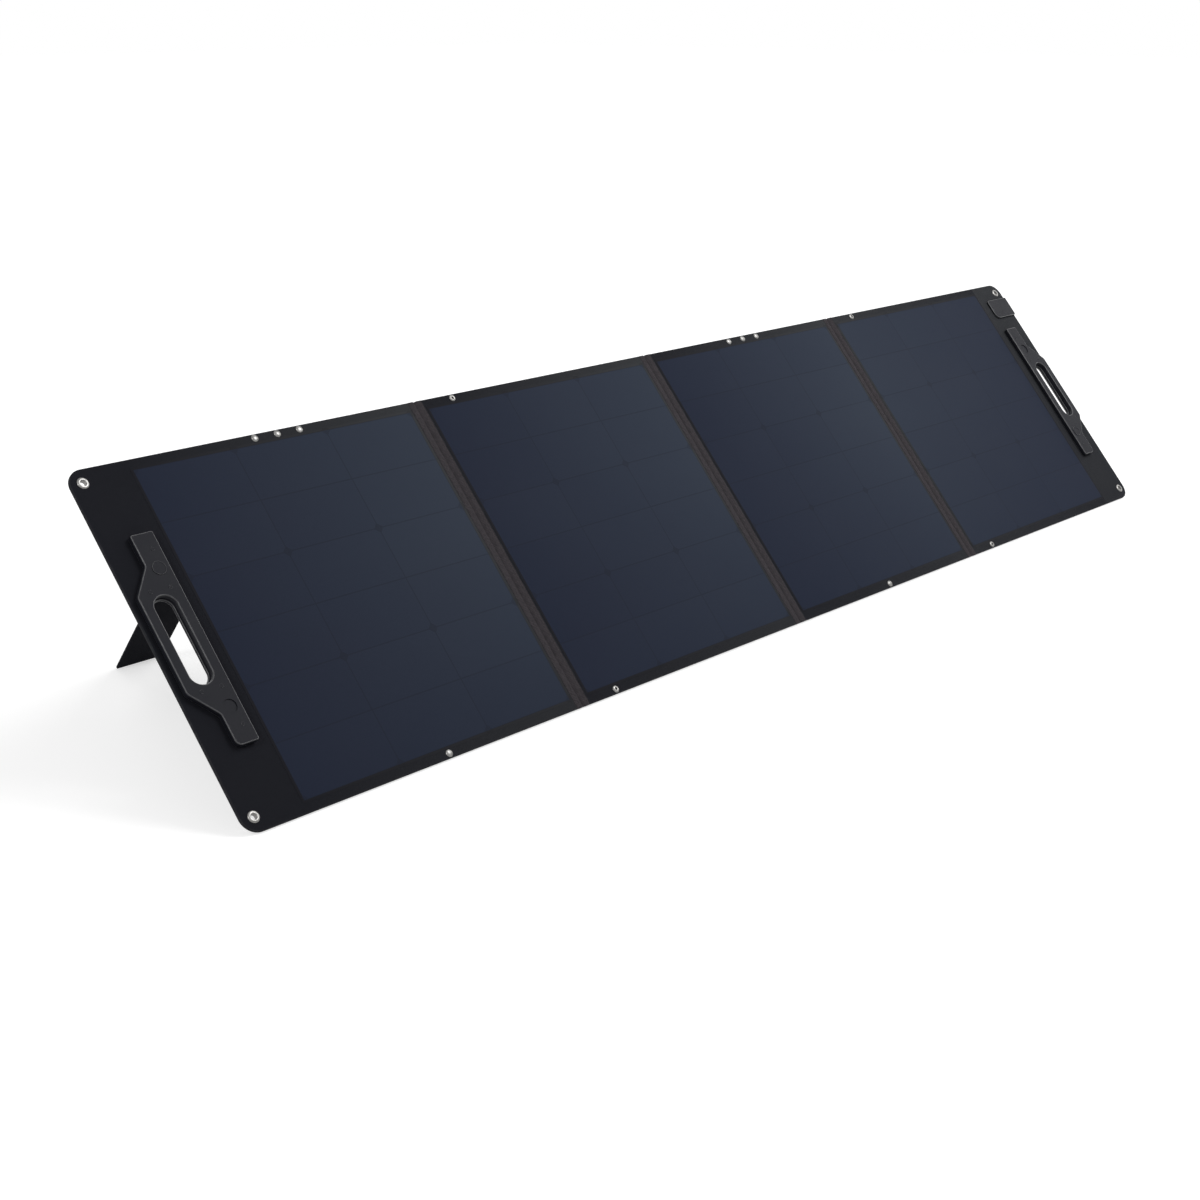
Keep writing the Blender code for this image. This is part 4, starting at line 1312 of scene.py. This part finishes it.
class SOLAR_OT_legs(bpy.types.Operator):
    """Model the prop legs and the hinge fabric that holds them"""

    bl_idname = "solar.legs"
    bl_label = "Prop legs"

    # Hinge fabric: share of a leg's width, hem under the strip, steps of its turn and ends of its bend
    HINGE_WIDTH = 0.94
    HINGE_HEM = 0.004
    HINGE_STEPS = 8
    BEND_START = 0.004
    BEND_END = 0.010

    def execute(self, context):
        for number in LEGS:
            self.add_leg(number)
            self.add_hinge(number)
        return {"FINISHED"}

    def add_leg(self, number):
        """A fabric-covered board with stitched hems, cut level with the floor."""
        sizes = settings("leg")
        matrix, run = LEG_FRAMES[number]
        low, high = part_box(f"leg_board_{number}")
        half = (high.x - low.x) / 2
        thick = leg_thickness(number) / 2
        board = add_box(f"leg_{number}_board", (-half, -run - thick, -thick), (half, thick, thick))
        mark(board, "EDGE", lambda c: upright(c) and c[0].y < -run / 2)
        round_edges(sizes.corner, 6)
        mark_sharp(board, lambda c: at_height(thick)(c) or at_height(-thick)(c))
        round_edges(sizes.rim, 3)
        stand_up(board, matrix)
        mark_all()
        bpy.ops.mesh.bisect(plane_co=(0, 0, low.z), plane_no=(0, 0, 1), clear_inner=True, use_fill=True)
        make_outward()
        give_finish(board, "leg fabric")
        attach(board, f"leg_{number}")
        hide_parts(f"leg_board_{number}")
        count = int((run - 4 * sizes.hem) / settings("segment").stitch_pitch)
        start = -run + 2 * sizes.hem
        rows = [stitch_row((side * (half - sizes.hem), start, -thick), count) for side in (-1, 1)]
        stitches = join(rows, f"leg_{number}_stitches")
        mount(stitches, "sewing thread", f"leg_{number}", "webbing", matrix=matrix)

    def add_hinge(self, number):
        """Fabric from under the riveted strip, over the hinge and down the leg."""
        sizes = settings("leg")
        matrix = LEG_FRAMES[number][0]
        strip = bench_box(f"leg_strip_{number}")[0]
        low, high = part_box(f"leg_board_{number}")
        hinge = BENCH.inverted() @ matrix.translation
        radius = leg_thickness(number) / 2 + sizes.hinge_fabric
        leg_up = (BENCH.inverted().to_3x3() @ matrix.to_3x3() @ Vector((0, 1, 0))).normalized()
        open_angle = math.atan2(-leg_up.z, -leg_up.y)
        points = []
        for step in range(self.HINGE_STEPS + 1):
            turn = open_angle * step / self.HINGE_STEPS - math.pi / 2
            points.append(hinge.yz + radius * Vector((math.cos(turn), math.sin(turn))))
        points.append(points[-1] - sizes.hinge_reach * leg_up.yz)
        here = Vector((strip.y + self.HINGE_HEM, strip.z - sizes.hinge_fabric / 2))
        piece = begin(
            bpy.ops.mesh.primitive_plane_add, f"leg_{number}_hinge_fabric",
            (self.HINGE_WIDTH * (high.x - low.x), self.HINGE_HEM, 1), size=1, location=(hinge.x, *here),
        )
        here.x -= self.HINGE_HEM / 2
        mark(piece, "EDGE", at_level(here.x))
        for point in points:
            bpy.ops.mesh.extrude_edges_move(TRANSFORM_OT_translate={"value": (0, *(point - here))})
            here = point
        make_outward()
        apply_modifier(piece, "SOLIDIFY", thickness=sizes.hinge_fabric, offset=0.0)
        stand_up(piece)
        give_finish(piece, "leg fabric")
        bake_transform(piece)


def leg_thickness(number):
    """Thickness of a leg's board, across its own bench."""
    outward = LEG_FRAMES[number][0].to_3x3() @ Vector((0, 0, 1))
    low, high = reach(f"leg_board_{number}", outward)
    return high - low


class SOLAR_OT_junction(bpy.types.Operator):
    """Model the junction box's cover plate and its housing"""

    bl_idname = "solar.junction"
    bl_label = "Junction box"

    # The plate's lower corner in corner radii, and the housing's recess as shares of its rounding
    FOOT_CORNER = 3
    RECESS_RIM = 2.2
    RECESS_WALL = 0.5
    RECESS_DEPTH = 0.4

    def execute(self, context):
        sizes = settings("junction")
        self.add_case("junction_plate", "junction_cover", sizes.plate_corner, sizes.plate_edge, 1)
        self.add_case("junction_housing", "junction_box", sizes.housing_corner, sizes.housing_edge, -1)
        return {"FINISHED"}

    def add_case(self, name, node, corner, edge, way):
        """A moulded case with rounded corners and face, and a shallow recess if it faces back."""
        low, high = bench_box(node)
        face = high.z if way > 0 else low.z
        piece = add_box(name, low, high)

        def at_foot(corners):
            """Rule for the plate's lower corner."""
            at_corner = abs(corners[0].x - low.x) + abs(corners[0].y - low.y) < TOUCH
            return upright(corners) and way > 0 and at_corner

        mark(piece, "EDGE", lambda c: upright(c) and not at_foot(c))
        round_edges(corner, 6)
        mark(piece, "EDGE", at_foot)
        round_edges(self.FOOT_CORNER * corner, 8)
        if way < 0:
            mark(piece, "FACE", at_height(face))
            bpy.ops.mesh.inset(thickness=self.RECESS_RIM * edge)
            bpy.ops.mesh.inset(thickness=self.RECESS_WALL * edge)
            bpy.ops.transform.translate(value=(0, 0, self.RECESS_DEPTH * edge))
            leave()
        mark_sharp(piece, at_height(face))
        round_edges(edge, 3)
        mount(piece, "handle plastic", BODY_OF[node], "plastic", node)


class SOLAR_OT_solids(bpy.types.Operator):
    """Finish the solids, also those that a piece stands for"""

    bl_idname = "solar.solids"
    bl_label = "Solids"

    FINISHES = {
        "front_film": "laminate film", "cell_layer": "silicon cells", "core_board": "glass fibre board",
        "flap_board": "glass fibre board", "front_cover": "front fabric", "back_cover": "back fabric",
        "seam_tape": "hinge tape", "handle": "handle plastic", "magnet": "magnet plating",
        "grommet": "plated metal", "eyelet": "plated metal", "leg_rivet": "plated metal",
        "leg_strip": "box plastic", "leg_board": "leg fabric", "junction": "box plastic",
        "terminal": "circuit board", "cable_gland": "box plastic",
    }

    def execute(self, context):
        for name, node in frame["nodes"].items():
            finish = next(value for key, value in self.FINISHES.items() if name.startswith(key))
            node.data.materials.clear()
            node.data.materials.append(bpy.data.materials[finish])
        return {"FINISHED"}


class SOLAR_OT_stage(bpy.types.Operator):
    """Set up the floor, the light, the surround and the camera"""

    bl_idname = "solar.stage"
    bl_label = "Stage"

    # Place and size of each light
    LIGHTS = {
        "key": ((1.3, -1.8, 3.2), 2.0),
        "side": ((-3.7, -0.8, 2.3), 0.9),
        "fill": ((3.6, -0.8, 1.8), 1.6),
        "back": ((0.6, 3.6, 1.1), 2.0),
    }
    FLOOR_SPAN = 60
    FLOOR_DROP = 0.0005
    FLOOR_COLOUR = (0.55, 0.55, 0.55, 1)
    WHITE = (1, 1, 1, 1)

    def execute(self, context):
        self.add_floor()
        self.add_surround(context)
        for label, (place, size) in self.LIGHTS.items():
            self.add_light(f"{label}_light", place, size, getattr(settings("stage"), label))
        self.add_camera(context)
        context.scene.view_settings.view_transform = "Standard"
        return {"FINISHED"}

    def add_floor(self):
        """A wide pale floor that keeps the object's shadow."""
        pick()
        bpy.ops.mesh.primitive_plane_add(size=self.FLOOR_SPAN, location=(0, 0, -self.FLOOR_DROP))
        floor = bpy.context.object
        floor.name = "floor"
        material = bpy.data.materials.new("pale floor")
        material.use_nodes = True
        tree = material.node_tree
        shader = tree.nodes["Principled BSDF"]
        shader.inputs["Base Color"].default_value = self.FLOOR_COLOUR
        shader.inputs["Roughness"].default_value = 1.0
        shader.inputs["Specular IOR Level"].default_value = 0.0
        shader.inputs["Emission Color"].default_value = self.WHITE
        place = add_node(tree, "ShaderNodeTexCoord").outputs["Object"]
        away = add_node(tree, "ShaderNodeVectorMath", {0: place}, operation="LENGTH").outputs["Value"]
        fade = {"Value": away, "From Min": 0.5, "From Max": 4.0, "To Min": 0.55, "To Max": 0.87}
        strength = add_node(tree, "ShaderNodeMapRange", fade).outputs[0]
        tree.links.new(maths(tree, "MULTIPLY", self.seen(tree), strength), shader.inputs["Emission Strength"])
        floor.data.materials.append(material)

    def seen(self, tree):
        """One for what the camera sees, also in metal or through a film, and nought for what only lights."""
        rays = add_node(tree, "ShaderNodeLightPath").outputs
        mirrored = maths(tree, "MAXIMUM", rays["Is Glossy Ray"], rays["Is Transmission Ray"])
        return maths(tree, "MAXIMUM", rays["Is Camera Ray"], mirrored)

    def add_surround(self, context):
        """White to the camera and in reflections, and a soft light on the object."""
        world = context.scene.world or bpy.data.worlds.new("surround")
        context.scene.world = world
        world.use_nodes = True
        tree = world.node_tree
        shader = tree.nodes["Background"]
        surround = settings("stage").surround
        strength = maths(tree, "MULTIPLY_ADD", self.seen(tree), 1.0 - surround, surround)
        shader.inputs["Color"].default_value = self.WHITE
        tree.links.new(strength, shader.inputs["Strength"])

    def add_light(self, name, place, size, strength):
        """A large soft light that faces the object."""
        bpy.ops.object.light_add(type="AREA", location=place)
        light = bpy.context.object
        light.name = name
        light.data.size = size
        light.data.energy = strength
        light.rotation_euler = (-Vector(place)).to_track_quat("-Z", "Y").to_euler()

    def add_camera(self, context):
        """The camera at the photograph's angle."""
        stage = settings("stage")
        place = Vector(stage.camera)
        bpy.ops.object.camera_add(location=place)
        camera = bpy.context.object
        camera.rotation_euler = (Vector(stage.aim) - place).to_track_quat("-Z", "Y").to_euler()
        camera.data.sensor_width = 36.0
        camera.data.lens = stage.lens
        camera.data.dof.use_dof = False
        context.scene.camera = camera


OPERATORS = (
    SOLAR_OT_finishes, SOLAR_OT_laminates, SOLAR_OT_covers, SOLAR_OT_seams, SOLAR_OT_handles,
    SOLAR_OT_eyelets, SOLAR_OT_legs, SOLAR_OT_junction, SOLAR_OT_solids, SOLAR_OT_stage,
)


class SOLAR_PT_pieces(bpy.types.Panel):
    """Lists the steps in their order"""

    bl_idname = "SOLAR_PT_pieces"
    bl_label = "Solar panel"
    bl_space_type = "VIEW_3D"
    bl_region_type = "UI"
    bl_category = "Solar panel"

    def draw(self, context):
        for operator in OPERATORS:
            self.layout.operator(operator.bl_idname)


GROUPS = {
    "segment": SegmentSizes, "handle": HandleSizes, "metal": MetalSizes, "leg": LegSizes,
    "junction": JunctionSizes, "colours": Colours, "stage": StageSettings,
}


def register():
    """Make the values, the steps and the panel known."""
    for name, group in GROUPS.items():
        bpy.utils.register_class(group)
        setattr(bpy.types.Scene, f"solar_panel_{name}", bpy.props.PointerProperty(type=group))
    for item in (*OPERATORS, SOLAR_PT_pieces):
        bpy.utils.register_class(item)


def unregister():
    """Take the values, the steps and the panel away again."""
    for item in reversed((*OPERATORS, SOLAR_PT_pieces)):
        bpy.utils.unregister_class(item)
    for name, group in GROUPS.items():
        delattr(bpy.types.Scene, f"solar_panel_{name}")
        bpy.utils.unregister_class(group)


def main():
    """Make the values and steps known, and run every step in order."""
    register()
    for operator in OPERATORS:
        group, step = operator.bl_idname.split(".")
        getattr(getattr(bpy.ops, group), step)()


if __name__ == "__main__":
    main()
